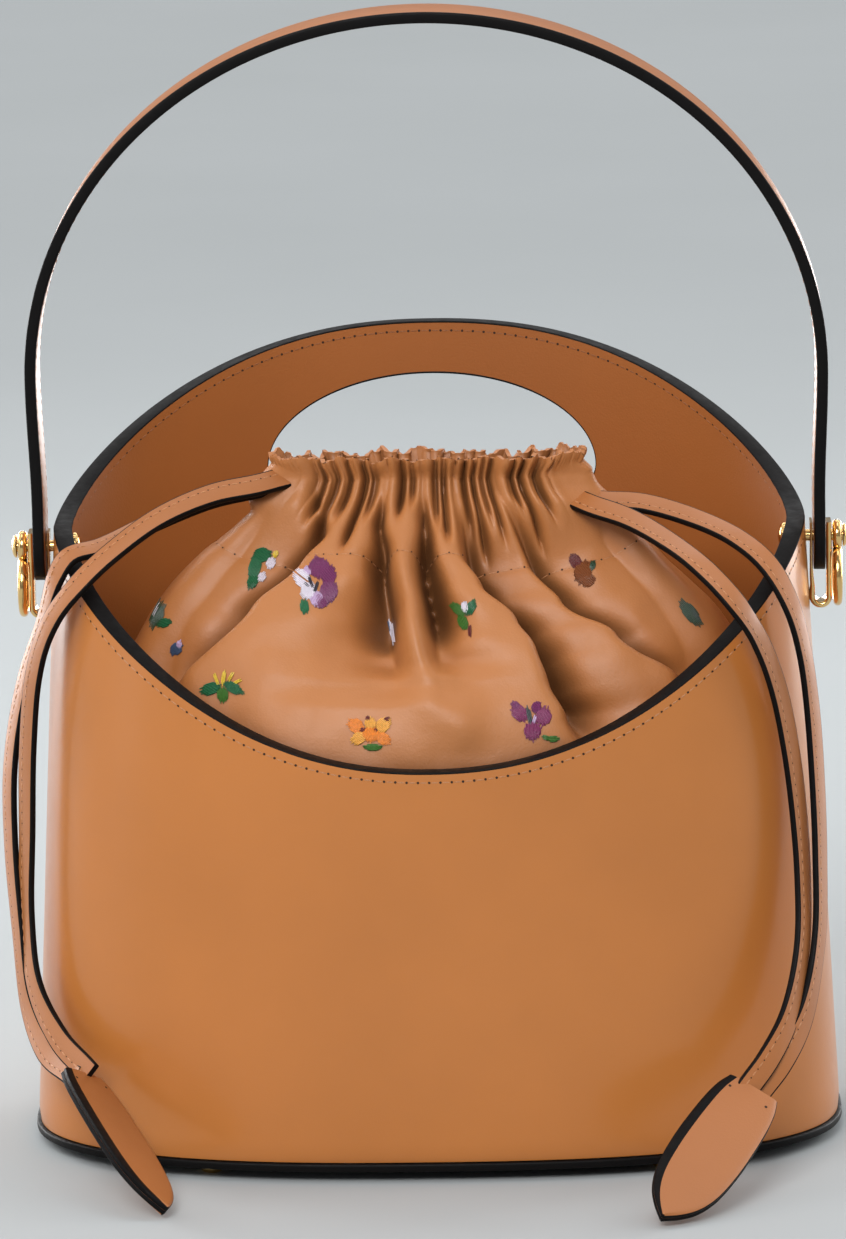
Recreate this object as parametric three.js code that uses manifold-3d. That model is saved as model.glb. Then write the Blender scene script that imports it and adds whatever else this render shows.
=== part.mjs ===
// A small structured bucket bag: a stiff oval leather body on a black-edged sole with metal feet,
// a domed back panel with a grab hole, a gathered inner pouch closed by two drawstrings, and an
// arched strap that swings on two side pins, each of which also carries a hanging ring.
// Millimetres. +X is the bag's right, +Y its back, +Z up. The origin is on the surface that the
// bag stands on, under the middle of its base.
import * as THREE from 'three';
import { mergeVertices } from 'three/addons/utils/BufferGeometryUtils.js';
import Module from 'manifold-3d';

const wasm = await Module();
wasm.setup();

// Driving dimensions
const GAP = 0.3;                 // room kept between pieces that touch
const BASE_HALF_WIDTH = 125;
const BASE_HALF_DEPTH = 71;
const SIDE_LEAN = 9;             // how much narrower each side is at the pins
const FRONT_SWELL = 2;           // how much deeper the body is at the front rim
const CORNER_LOW = 2.55;         // superellipse exponent of the plan at the base
const CORNER_HIGH = 2.25;        // and at the rim
const OUTER_LEATHER = 1.8;
const STIFFENER = 1.6;
const LINING = 1.6;
const WALL = OUTER_LEATHER + STIFFENER + LINING + 2 * GAP;

const FOOT_HEIGHT = 3.4;
const FOOT_RADIUS = 3.6;
const FOOT_FLAT = 2;
const FOOT_SHANK = 1.5;
const FOOT_X = 69;
const FOOT_Y = 54.5;
const SOLE_THICKNESS = 2.5;
const SOLE_PROUD = 0.6;
const BOARD_THICKNESS = 2;
const WASHER_THICKNESS = 0.8;
const WASHER_RADIUS = 3.1;

const FRONT_RIM = 127.5;         // height of the front rim at its lowest point
const SIDE_RIM = 192;            // height of the rim over the pins
const BACK_RIM = 243;            // height of the back dome
const GRIP_HOLE = { height: 198, halfWidth: 54.5, up: 29, down: 20 };

const PIN_HEIGHT = 185.5;
const PIN_RADIUS = 1.8;
const PIN_HOLE = PIN_RADIUS + GAP;

const STRAP_WIDTH = 23;
const STRAP_LAYER = 1.6;
const STRAP_HALF_SPAN = 123;     // outer face, at the springing of the arch
const STRAP_PIN_SPAN = 121.8;    // outer face, at the pins
const ARCH_SPRING = 239;
const ARCH_RISE = 111.5;
const STRAP_END_DROP = 10.5;     // how far the strap runs on below the pin

const BRACKET_WIDTH = 9;
const BRACKET_RISE = 5;          // above the pin
const BRACKET_DROP = 22;         // below the pin
const BRACKET_INSIDE = 117.5;    // the face of its bend next to the wall
const BRACKET_TAPER = 4;         // how far down its thin leg spreads to that face
const BRACKET_SLOT = { half: 0.9, drop: 1.4, lift: 0.4 };
const RING_WIRE = 1.4;           // radius of the ring's wire
const RING_EYE = 4.4;
const HEAD_RADIUS = 3.6;

const POUCH_LEATHER = 1.5;
const POUCH_CORNER = 2.3;
const POUCH_FLOOR = { halfWidth: 109, halfDepth: 60 };
const POUCH_SEAM = 0.004;        // half the room between the pouch's halves, as an angle
const CASING_TOP = 213.5;

const LACE_RADIUS = 2;
const TAB_LENGTH = 62;
const TAB_WIDTH = 23;
const TAB_LEATHER = 1.5;
const TAB_POINT = 0.8;           // half the width left at the tab's point

// Heights that follow from the stack of the base
const SOLE_TOP = FOOT_HEIGHT + SOLE_THICKNESS;
const BODY_BOTTOM = SOLE_TOP + GAP;
const BOARD_TOP = BODY_BOTTOM + BOARD_THICKNESS;
const WASHER_BOTTOM = BOARD_TOP + GAP;
const SHANK_TOP = WASHER_BOTTOM + WASHER_THICKNESS + 0.4;
const FLOOR_LINING_BOTTOM = SHANK_TOP + GAP;
const FLOOR_LINING_TOP = FLOOR_LINING_BOTTOM + 1.2;
const POUCH_FLOOR_TOP = FLOOR_LINING_TOP + GAP + POUCH_LEATHER;
const POUCH_BOTTOM = POUCH_FLOOR_TOP + GAP;

// Places across the side of the bag, from its wall outwards
const STRAP_TOTAL = 2 * STRAP_LAYER + GAP;
const STRAP_INNER_FACE = STRAP_PIN_SPAN - STRAP_TOTAL;
const INNER_LEG = [117.1, STRAP_INNER_FACE - GAP];
const OUTER_LEG = [STRAP_PIN_SPAN + GAP, STRAP_PIN_SPAN + GAP + 1.8];
const RING_FACE = OUTER_LEG[1] + GAP;
const RING_CENTRE = RING_FACE + RING_WIRE;
const HEAD_FACE = RING_FACE + 2 * RING_WIRE + GAP;

const bag = new THREE.Group();

const LOOK = {
  leather: { color: 0xc08049, roughness: 0.36, metalness: 0 },
  strap: { color: 0xb87845, roughness: 0.36, metalness: 0 },
  lining: { color: 0x96592f, roughness: 0.6, metalness: 0 },
  board: { color: 0xb9a683, roughness: 0.9, metalness: 0 },
  edge: { color: 0x0c0a09, roughness: 0.4, metalness: 0 },
  pouch: { color: 0xb67545, roughness: 0.5, metalness: 0 },
  gold: { color: 0xd9a94f, roughness: 0.18, metalness: 1 },
};

function add(name, look, geometry) {
  const mesh = new THREE.Mesh(geometry, new THREE.MeshStandardMaterial(LOOK[look]));
  mesh.name = name;
  bag.add(mesh);
  return mesh;
}

// ---- Shape helpers -------------------------------------------------------------------------

const clamp01 = (t) => Math.min(Math.max(t, 0), 1);
const smooth = (t) => clamp01(t) ** 2 * (3 - 2 * clamp01(t));
const signedPower = (t, p) => Math.sign(t) * Math.abs(t) ** p;

function superellipse(angle, halfWidth, halfDepth, corner) {
  return [
    halfWidth * signedPower(Math.cos(angle), 2 / corner),
    halfDepth * signedPower(Math.sin(angle), 2 / corner),
  ];
}

// A point on the body's wall, inset mm in from its outer face
function wallPoint(angle, z, inset) {
  const rise = (z - SOLE_TOP) / (PIN_HEIGHT - SOLE_TOP);
  const halfWidth = BASE_HALF_WIDTH - SIDE_LEAN * rise;
  const halfDepth = BASE_HALF_DEPTH + FRONT_SWELL * clamp01(z / FRONT_RIM);
  const corner = CORNER_LOW + (CORNER_HIGH - CORNER_LOW) * clamp01(rise);
  return [...superellipse(angle, halfWidth - inset, halfDepth - inset, corner), z];
}

function fromArrays(points, index) {
  const geometry = new THREE.BufferGeometry();
  geometry.setAttribute('position', new THREE.Float32BufferAttribute(points.flat(), 3));
  geometry.setIndex(index);
  return geometry;
}

// The closed solid between two matching grids of points, outer(u, v) and inner(u, v)
function between(outer, inner, columns, rows) {
  const points = [];
  const index = [];
  for (const face of [outer, inner]) {
    for (let j = 0; j <= rows; j += 1) {
      for (let i = 0; i <= columns; i += 1) points.push(face(i / columns, j / rows));
    }
  }
  const half = (columns + 1) * (rows + 1);
  const out = (i, j) => j * (columns + 1) + i;
  const inn = (i, j) => half + out(i, j);
  const quad = (a, b, c, d) => index.push(a, b, c, a, c, d);
  for (let j = 0; j < rows; j += 1) {
    for (let i = 0; i < columns; i += 1) {
      quad(out(i, j), out(i + 1, j), out(i + 1, j + 1), out(i, j + 1));
      quad(inn(i, j), inn(i, j + 1), inn(i + 1, j + 1), inn(i + 1, j));
    }
    quad(out(0, j), out(0, j + 1), inn(0, j + 1), inn(0, j));
    quad(out(columns, j), inn(columns, j), inn(columns, j + 1), out(columns, j + 1));
  }
  for (let i = 0; i < columns; i += 1) {
    quad(out(i, 0), inn(i, 0), inn(i + 1, 0), out(i + 1, 0));
    quad(out(i, rows), out(i + 1, rows), inn(i + 1, rows), inn(i, rows));
  }
  return fromArrays(points, index);
}

// The closed solid swept by a closed section round a closed path, both in equal steps
function loopSolid(point, steps, sides) {
  const points = [];
  const index = [];
  for (let i = 0; i < steps; i += 1) {
    for (let k = 0; k < sides; k += 1) points.push(point(i / steps, k / sides));
  }
  const at = (i, k) => (i % steps) * sides + (k % sides);
  for (let i = 0; i < steps; i += 1) {
    for (let k = 0; k < sides; k += 1) {
      index.push(at(i, k), at(i + 1, k), at(i + 1, k + 1), at(i, k), at(i + 1, k + 1), at(i, k + 1));
    }
  }
  return fromArrays(points, index);
}

function toManifold(geometry) {
  let bare = geometry.clone();
  bare.deleteAttribute('normal');
  bare.deleteAttribute('uv');
  bare = mergeVertices(bare, 1e-4);
  return new wasm.Manifold(new wasm.Mesh({
    numProp: 3,
    vertProperties: new Float32Array(bare.attributes.position.array),
    triVerts: new Uint32Array(bare.index.array),
  }));
}

function toGeometry(solid) {
  const mesh = solid.getMesh();
  const geometry = new THREE.BufferGeometry();
  geometry.setAttribute('position', new THREE.BufferAttribute(mesh.vertProperties, 3));
  geometry.setIndex(new THREE.BufferAttribute(mesh.triVerts, 1));
  return geometry;
}

function cut(geometry, cutters) {
  return toGeometry(cutters.reduce((solid, tool) => solid.subtract(tool), toManifold(geometry)));
}

// A round bar along X through both sides of the bag, at the height of the pins
function crossBar(radius) {
  const bar = new THREE.CylinderGeometry(radius, radius, 300, 16);
  bar.rotateZ(Math.PI / 2);
  bar.translate(0, 0, PIN_HEIGHT);
  return toManifold(bar);
}

const pinBore = crossBar(PIN_HOLE);

// A flat plate with the body's plan at height z, thick mm thick, with holes for the feet
function plate(inset, z, thick, holeRadius) {
  const outline = [];
  for (let i = 0; i < 56; i += 1) {
    const [x, y] = wallPoint((i / 56) * 2 * Math.PI, SOLE_TOP, inset);
    outline.push(new THREE.Vector2(x, y));
  }
  const shape = new THREE.Shape(outline);
  for (const [x, y] of holeRadius ? footPlaces() : []) {
    const hole = new THREE.Path();
    hole.absarc(x, y, holeRadius, 0, 2 * Math.PI, true);
    shape.holes.push(hole);
  }
  const geometry = new THREE.ExtrudeGeometry(shape, {
    depth: thick, bevelEnabled: false, curveSegments: 4,
  });
  geometry.translate(0, 0, z);
  return geometry;
}

function footPlaces() {
  return [[-FOOT_X, -FOOT_Y], [FOOT_X, -FOOT_Y], [FOOT_X, FOOT_Y], [-FOOT_X, FOOT_Y]];
}

// ---- Base ----------------------------------------------------------------------------------

function foot() {
  const dome = FOOT_HEIGHT - GAP;
  const profile = [
    [0, 0], [FOOT_FLAT, 0], [FOOT_RADIUS * 0.82, dome * 0.22], [FOOT_RADIUS, dome * 0.62],
    [FOOT_RADIUS, dome], [FOOT_SHANK, dome], [FOOT_SHANK, SHANK_TOP], [0, SHANK_TOP],
  ];
  const turned = new THREE.LatheGeometry(profile.map(([r, z]) => new THREE.Vector2(r, z)), 12);
  turned.rotateX(Math.PI / 2);
  return turned;
}

function washer() {
  const shape = new THREE.Shape();
  shape.absarc(0, 0, WASHER_RADIUS, 0, 2 * Math.PI, false);
  const hole = new THREE.Path();
  hole.absarc(0, 0, FOOT_SHANK + GAP, 0, 2 * Math.PI, true);
  shape.holes.push(hole);
  return new THREE.ExtrudeGeometry(shape, {
    depth: WASHER_THICKNESS, bevelEnabled: false, curveSegments: 5,
  });
}

function buildBase() {
  const shankHole = FOOT_SHANK + GAP;
  add('base_sole', 'edge', plate(-SOLE_PROUD, FOOT_HEIGHT, SOLE_THICKNESS, shankHole));
  add('base_board', 'board', plate(WALL + 0.6, BODY_BOTTOM, BOARD_THICKNESS, shankHole));
  add('base_lining', 'lining',
    plate(WALL + 0.6, FLOOR_LINING_BOTTOM, FLOOR_LINING_TOP - FLOOR_LINING_BOTTOM, 0));
  const names = ['front_left', 'front_right', 'back_right', 'back_left'];
  footPlaces().forEach(([x, y], i) => {
    add(`foot_${names[i]}`, 'gold', foot()).position.set(x, y, 0);
    add(`foot_washer_${names[i]}`, 'gold', washer()).position.set(x, y, WASHER_BOTTOM);
  });
}

// ---- Walls ---------------------------------------------------------------------------------

// Rim height round the plan: angle 0 and 180 degrees are the sides, -90 is the front
function rimHeight(angle) {
  const side = Math.abs(Math.cos(angle));
  if (Math.sin(angle) > 0) return SIDE_RIM + (BACK_RIM - SIDE_RIM) * Math.sin(angle) ** 1.55;
  return FRONT_RIM + (SIDE_RIM - FRONT_RIM) * (0.9 * side ** 1.85 + 0.1 * side ** 14);
}

function gripHoleCutter() {
  const outline = [];
  for (let i = 0; i < 32; i += 1) {
    const angle = (i / 32) * 2 * Math.PI;
    const reach = Math.sin(angle) > 0 ? GRIP_HOLE.up : GRIP_HOLE.down;
    outline.push(new THREE.Vector2(
      GRIP_HOLE.halfWidth * Math.cos(angle), GRIP_HOLE.height + reach * Math.sin(angle),
    ));
  }
  const cutter = new THREE.ExtrudeGeometry(new THREE.Shape(outline), {
    depth: 60, bevelEnabled: false,
  });
  cutter.rotateX(Math.PI / 2);
  cutter.translate(0, 100, 0);
  return toManifold(cutter);
}

// One layer of the front half (from -180 to 0 degrees) or of the back half (from 0 to 180)
function wallLayer(isBack, inset, thick) {
  const seam = GAP / 2 / BASE_HALF_DEPTH;
  const first = isBack ? seam : seam - Math.PI;
  const face = (depth) => (u, v) => {
    const angle = first + u * (Math.PI - 2 * seam);
    return wallPoint(angle, BODY_BOTTOM + (rimHeight(angle) - BODY_BOTTOM) * v, depth);
  };
  return between(face(inset), face(inset + thick), 28, 2);
}

function buildWalls() {
  const gripHole = gripHoleCutter();
  const layers = [
    ['outer_panel', 'leather', 0, OUTER_LEATHER],
    ['stiffener', 'board', OUTER_LEATHER + GAP, STIFFENER],
    ['lining', 'lining', OUTER_LEATHER + STIFFENER + 2 * GAP, LINING],
  ];
  for (const [name, look, inset, thick] of layers) {
    add(`front_${name}`, look, cut(wallLayer(false, inset, thick), [pinBore]));
    add(`back_${name}`, look, cut(wallLayer(true, inset, thick), [pinBore, gripHole]));
  }
}

// ---- Side fittings, each made for the right side and mirrored for the left ------------------

function mirrored(geometry) {
  const copy = geometry.clone();
  copy.scale(-1, 1, 1);
  const order = copy.index.array;
  for (let i = 0; i < order.length; i += 3) {
    const swap = order[i];
    order[i] = order[i + 1];
    order[i + 1] = swap;
  }
  return copy;
}

function addPair(name, look, geometry) {
  const indexed = geometry.index ? geometry : mergeVertices(geometry, 1e-4);
  add(`right_${name}`, look, indexed);
  add(`left_${name}`, look, mirrored(indexed));
}

// A U of metal strip: a thin leg against the wall, the strap's end in it, a thicker outer leg
function bracket() {
  const top = PIN_HEIGHT + BRACKET_RISE;
  const shoulder = PIN_HEIGHT - STRAP_END_DROP - GAP;
  const low = PIN_HEIGHT - BRACKET_DROP;
  const outside = (OUTER_LEG[1] - BRACKET_INSIDE) / 2;
  const middle = BRACKET_INSIDE + outside;
  const bend = low + outside;
  const slotEnd = bend + BRACKET_SLOT.lift;
  const slotTop = shoulder - BRACKET_SLOT.drop;
  const half = BRACKET_SLOT.half;
  const shape = new THREE.Shape();
  shape.moveTo(OUTER_LEG[1], top);
  shape.lineTo(OUTER_LEG[0], top);
  shape.lineTo(OUTER_LEG[0], shoulder);
  shape.lineTo(middle + half, slotTop);
  shape.lineTo(middle + half, slotEnd);
  shape.absarc(middle, slotEnd, half, 0, Math.PI, true);
  shape.lineTo(middle - half, slotTop);
  shape.lineTo(INNER_LEG[1], shoulder);
  shape.lineTo(INNER_LEG[1], top);
  shape.lineTo(INNER_LEG[0], top);
  shape.lineTo(INNER_LEG[0], shoulder);
  shape.lineTo(BRACKET_INSIDE, shoulder - BRACKET_TAPER);
  shape.absarc(middle, bend, outside, Math.PI, 2 * Math.PI, false);
  const strip = new THREE.ExtrudeGeometry(shape, {
    depth: BRACKET_WIDTH, bevelEnabled: false, curveSegments: 8,
  });
  strip.rotateX(Math.PI / 2);
  strip.translate(0, BRACKET_WIDTH / 2, 0);
  return cut(strip, [pinBore]);
}

// A turned piece whose axis is the pin's: profile points are [radius, x]
function turnedOnPin(profile, sides) {
  const turned = new THREE.LatheGeometry(profile.map(([r, x]) => new THREE.Vector2(r, x)), sides);
  turned.rotateZ(-Math.PI / 2);
  turned.translate(0, 0, PIN_HEIGHT);
  return turned;
}

function pin() {
  const inside = wallPoint(0, PIN_HEIGHT, WALL)[0];
  return turnedOnPin([
    [0, inside], [PIN_RADIUS, inside], [PIN_RADIUS, HEAD_FACE], [HEAD_RADIUS, HEAD_FACE],
    [HEAD_RADIUS, HEAD_FACE + 0.8], [HEAD_RADIUS * 0.7, HEAD_FACE + 1.5], [0, HEAD_FACE + 1.8],
  ], 16);
}

function innerCap() {
  const face = wallPoint(0, PIN_HEIGHT, WALL)[0] - 2 * GAP;
  return turnedOnPin([
    [0, face - 2.4], [2.6, face - 2.1], [4.2, face - 1.2], [4.2, face], [0, face],
  ], 16);
}

// An oval ring hanging below an eye that turns on the pin
function ring() {
  const loop = { half: 8.2, up: 8.45, centre: PIN_HEIGHT - 12.25 };
  const wire = loopSolid((u, v) => {
    const around = u * 2 * Math.PI;
    const about = v * 2 * Math.PI;
    const out = RING_WIRE * Math.cos(about);
    return [
      RING_CENTRE + RING_WIRE * Math.sin(about),
      (loop.half + out) * Math.cos(around),
      loop.centre + (loop.up + out) * Math.sin(around),
    ];
  }, 24, 6);
  const near = RING_FACE;
  const far = RING_FACE + 2 * RING_WIRE;
  const eye = turnedOnPin([
    [0, near], [RING_EYE - 0.6, near], [RING_EYE, near + 0.6], [RING_EYE, far - 0.6],
    [RING_EYE - 0.6, far], [0, far],
  ], 16);
  return toGeometry(toManifold(eye).add(toManifold(wire)).subtract(pinBore));
}

function buildFittings() {
  addPair('strap_bracket', 'gold', bracket());
  addPair('pin', 'gold', pin());
  addPair('inner_cap', 'gold', innerCap());
  addPair('ring', 'gold', ring());
}

// ---- Strap ---------------------------------------------------------------------------------

// Half of the strap's outer face as points [x, z], from its right end to the top of the arch
function strapLine() {
  const low = PIN_HEIGHT - STRAP_END_DROP;
  const line = [];
  for (const rise of [0, 1.2, 3, 6, 10.5, 17, 25, 34, 44, 54]) {
    const z = low + 0.3 + rise;
    const bulge = smooth((z - PIN_HEIGHT - 13) / (ARCH_SPRING - PIN_HEIGHT - 13));
    line.push([STRAP_PIN_SPAN + (STRAP_HALF_SPAN - STRAP_PIN_SPAN) * bulge, z]);
  }
  for (let i = 0; i <= 17; i += 1) {
    const angle = (i / 17) * (Math.PI / 2);
    line.push([STRAP_HALF_SPAN * Math.cos(angle), ARCH_SPRING + ARCH_RISE * Math.sin(angle)]);
  }
  return line;
}

// Half the strap's width at a distance along it from its end, which is rounded
function strapHalfWidth(run) {
  const half = STRAP_WIDTH / 2;
  return run >= half ? half : Math.sqrt(half ** 2 - (half - Math.max(run, 0.5)) ** 2);
}

function strapLayer(inset, thick) {
  const right = strapLine();
  const left = right.slice(0, -1).reverse().map(([x, z]) => [-x, z]);
  const line = [...right, ...left];
  const last = line.length - 1;
  const inward = line.map((_, i) => {
    const [x0, z0] = line[Math.max(i - 1, 0)];
    const [x1, z1] = line[Math.min(i + 1, last)];
    const long = Math.hypot(x1 - x0, z1 - z0);
    return [-(z1 - z0) / long, (x1 - x0) / long];
  });
  const low = PIN_HEIGHT - STRAP_END_DROP;
  const face = (depth) => (u, v) => {
    const i = Math.round(u * last);
    const half = line[i][1] < PIN_HEIGHT + 2 ? strapHalfWidth(line[i][1] - low) : STRAP_WIDTH / 2;
    const side = 1 - v * 2;
    return [line[i][0] + inward[i][0] * depth, half * side, line[i][1] + inward[i][1] * depth];
  };
  return cut(between(face(inset), face(inset + thick), last, 1), [pinBore]);
}

function buildStrap() {
  add('strap_outer', 'strap', strapLayer(0, STRAP_LAYER));
  add('strap_lining', 'strap', strapLayer(STRAP_LAYER + GAP, STRAP_LAYER));
}

// ---- Inner pouch ---------------------------------------------------------------------------

// The pouch's outer shape as [height, half width, half depth], from its floor to its neck
const pouchProfile = new THREE.CatmullRomCurve3([
  [POUCH_BOTTOM, POUCH_FLOOR.halfWidth, POUCH_FLOOR.halfDepth],
  [60, 109.5, 63], [110, 106.5, 63.5], [130, 103, 62], [148, 96.5, 55],
  [165, 86, 44], [180, 72, 30.5], [193, 58, 18], [202, 48.5, 11], [206.5, 46, 9.5],
].map((p) => new THREE.Vector3(...p)), false, 'centripetal');

function pouchPanel(isBack) {
  const first = isBack ? POUCH_SEAM : POUCH_SEAM - Math.PI;
  const face = (depth) => (u, v) => {
    const at = pouchProfile.getPoint(v);
    const angle = first + u * (Math.PI - 2 * POUCH_SEAM);
    const [x, y] = superellipse(angle, at.y - depth, at.z - depth, POUCH_CORNER);
    return [x, y, at.x];
  };
  return between(face(0), face(POUCH_LEATHER), 20, 11);
}

function pouchFloor() {
  const outline = [];
  for (let i = 0; i < 52; i += 1) {
    const angle = (i / 52) * 2 * Math.PI;
    const edge = superellipse(angle, POUCH_FLOOR.halfWidth, POUCH_FLOOR.halfDepth, POUCH_CORNER);
    outline.push(new THREE.Vector2(...edge));
  }
  const floor = new THREE.ExtrudeGeometry(new THREE.Shape(outline), {
    depth: POUCH_LEATHER, bevelEnabled: false,
  });
  floor.translate(0, 0, FLOOR_LINING_TOP + GAP);
  return floor;
}

// The hem that the drawstrings run through, flared and gathered above the neck
function pouchCasing() {
  const low = 206.5 + GAP;
  const section = [[46.5, 10, low], [50, 13, CASING_TOP], [45.5, 9, CASING_TOP], [43.5, 7.6, low]];
  return loopSolid((u, v) => {
    const [halfWidth, halfDepth, z] = section[Math.round(v * section.length)];
    const gather = z > low ? 0.7 * Math.cos(u * 2 * Math.PI * 18) : 0;
    return [...superellipse(u * 2 * Math.PI, halfWidth + gather, halfDepth + gather, 2.2), z];
  }, 72, section.length);
}

function buildPouch() {
  add('pouch_front', 'pouch', pouchPanel(false));
  add('pouch_back', 'pouch', pouchPanel(true));
  add('pouch_floor', 'pouch', pouchFloor());
  add('pouch_casing', 'pouch', pouchCasing());
}

// ---- Drawstrings ---------------------------------------------------------------------------

// The free ends of the two drawstrings, from the casing over the front rim and down to a tab
const LACE_ROUTES = {
  left_lace_front: [
    [-52.5, -8, 205], [-66, -12, 203], [-82, -20, 197.5], [-96, -30, 189], [-106, -39, 181],
    [-115, -36, 169], [-121, -29, 152], [-124, -24, 128], [-125, -24, 100], [-125.5, -27, 74],
    [-123, -35, 54], [-115, -50, 41], [-106.5, -62.3, 34.8],
  ],
  left_lace_back: [
    [-52.5, -2, 203], [-68, -2, 199.5], [-86, -10, 193.5], [-100, -22, 189], [-109.8, -27.5, 187],
    [-114, -28.5, 180.5], [-118, -25, 167], [-125, -19, 147], [-130, -16, 121], [-130.5, -18, 97],
    [-128.5, -24, 70], [-126, -30, 48], [-119.5, -45, 36], [-110.8, -59.8, 32.6],
  ],
  right_lace_front: [
    [50, -10, 197.5], [61, -19, 195], [73, -34, 190.5], [84, -50, 184.5], [93.3, -59, 175.5],
    [100.8, -53, 162], [105.8, -48, 147], [109.2, -45, 129.5], [111.6, -44.5, 109.5],
    [112.8, -47.5, 88.5], [112.2, -55, 68.5], [107.5, -66, 48.5], [100.8, -74.2, 37.5],
    [95.8, -77.6, 31.4],
  ],
  right_lace_back: [
    [54, -5, 198], [65.5, -7, 197.5], [80.5, -14, 194.2], [94.5, -27, 189.6], [103.8, -38, 183],
    [110, -42, 172], [113.8, -41, 158], [116.2, -39, 140], [117.6, -40, 118], [118.2, -43.5, 94],
    [117.5, -50, 70], [112.6, -61, 48], [105.2, -70.8, 36], [99.3, -75.4, 29.4],
  ],
};

function lace(route) {
  const path = new THREE.CatmullRomCurve3(
    route.map((p) => new THREE.Vector3(...p)), false, 'centripetal',
  );
  const outline = [];
  for (let i = 0; i < 8; i += 1) {
    const angle = (i / 8) * 2 * Math.PI;
    outline.push(new THREE.Vector2(LACE_RADIUS * Math.cos(angle), LACE_RADIUS * Math.sin(angle)));
  }
  return new THREE.ExtrudeGeometry(new THREE.Shape(outline), {
    steps: Math.round(path.getLength() / (5 * LACE_RADIUS)), extrudePath: path,
  });
}

// Half a tab's width, as a share of its widest, at shares of its length from the blunt end
const LEAF_OUTLINE = [
  [0, 0.72], [0.08, 0.86], [0.2, 0.95], [0.4, 1], [0.55, 0.995], [0.7, 0.93], [0.8, 0.81],
  [0.88, 0.62], [0.95, 0.34],
];

// A leaf with its blunt end at the origin and its point along +X, in the XY plane
function leaf() {
  const half = TAB_WIDTH / 2;
  const side = LEAF_OUTLINE.map(([share, wide]) => new THREE.Vector2(TAB_LENGTH * share, half * wide));
  const otherSide = side.map((p) => new THREE.Vector2(p.x, -p.y));
  const point = [
    new THREE.Vector2(TAB_LENGTH, TAB_POINT), new THREE.Vector2(TAB_LENGTH, -TAB_POINT),
  ];
  const shape = new THREE.Shape([...side, ...point, ...otherSide.reverse()]);
  return new THREE.ExtrudeGeometry(shape, { depth: TAB_LEATHER, bevelEnabled: false });
}

// Where each tab hangs: the middle of its blunt end, its point, and how far it is rolled over
const TABS = {
  left_tab: { top: [-107.5, -63.5, 32.5], tip: [-81, -110.5, 3.4], roll: 0.5 },
  right_tab: { top: [96.3, -78.2, 29.3], tip: [68, -127, 3.2], roll: 0.45 },
};

function addTab(name, { top, tip, roll }) {
  const along = new THREE.Vector3(...tip).sub(new THREE.Vector3(...top)).normalize();
  const level = new THREE.Vector3(0, 0, 1).cross(along).normalize();
  const across = level.applyAxisAngle(along, -roll);
  const up = new THREE.Vector3().crossVectors(along, across);
  const turn = new THREE.Matrix4().makeBasis(along, across, up);
  const leaves = [['front', GAP / 2], ['back', -GAP / 2 - TAB_LEATHER]];
  for (const [side, height] of leaves) {
    const piece = leaf();
    piece.translate(0, 0, height);
    piece.applyMatrix4(turn);
    piece.translate(...top);
    add(`${name}_${side}`, 'leather', piece);
  }
}

function buildDrawstrings() {
  for (const [name, route] of Object.entries(LACE_ROUTES)) add(name, 'leather', lace(route));
  for (const [name, place] of Object.entries(TABS)) addTab(name, place);
}

buildBase();
buildWalls();
buildFittings();
buildStrap();
buildPouch();
buildDrawstrings();

export default bag;
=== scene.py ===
"""The looks of a small structured bucket bag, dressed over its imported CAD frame.

Shapes are worked out in millimetres, +X to the bag's right, +Y to its back and +Z up, and each
one is turned into metres as its mesh is made. Every piece rides on a body of the frame.
"""

import math

import bpy
from mathutils import Matrix, Vector, noise
from mathutils.bvhtree import BVHTree


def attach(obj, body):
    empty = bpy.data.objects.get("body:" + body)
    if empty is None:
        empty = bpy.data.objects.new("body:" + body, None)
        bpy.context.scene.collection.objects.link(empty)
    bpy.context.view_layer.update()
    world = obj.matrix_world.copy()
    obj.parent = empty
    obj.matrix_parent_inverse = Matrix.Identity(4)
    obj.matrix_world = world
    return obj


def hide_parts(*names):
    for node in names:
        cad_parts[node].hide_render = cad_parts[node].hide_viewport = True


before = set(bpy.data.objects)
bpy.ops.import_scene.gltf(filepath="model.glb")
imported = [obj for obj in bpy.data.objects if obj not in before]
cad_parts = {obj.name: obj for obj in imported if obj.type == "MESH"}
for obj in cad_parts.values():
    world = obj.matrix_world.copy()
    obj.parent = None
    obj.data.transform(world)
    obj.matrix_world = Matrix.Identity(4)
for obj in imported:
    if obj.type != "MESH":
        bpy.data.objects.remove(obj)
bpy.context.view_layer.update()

MM = 0.001
RIGHT = Vector((1, 0, 0))
FRONT_BACK = Vector((0, 1, 0))
UP = Vector((0, 0, 1))

# Body, as the frame has it
BASE_HALF_WIDTH = 125
BASE_HALF_DEPTH = 71
SIDE_LEAN = 9
FRONT_SWELL = 2
CORNER_LOW = 2.55
CORNER_HIGH = 2.25
SKIN = 1.9                       # each leather face of the wall, with half of its gap
WALL = 5.6
FOOT_HEIGHT = 3.4
FOOT_RADIUS = 3.6
FOOT_X = 69
FOOT_Y = 54.5
SOLE_THICKNESS = 2.5
SOLE_PROUD = 0.6
SOLE_TOP = FOOT_HEIGHT + SOLE_THICKNESS
BODY_BOTTOM = SOLE_TOP + 0.3
FRONT_RIM = 127.5
SIDE_RIM = 192
BACK_RIM = 243
GRIP_HEIGHT = 198
GRIP_HALF_WIDTH = 54.5
GRIP_UP = 29
GRIP_DOWN = 20

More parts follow.
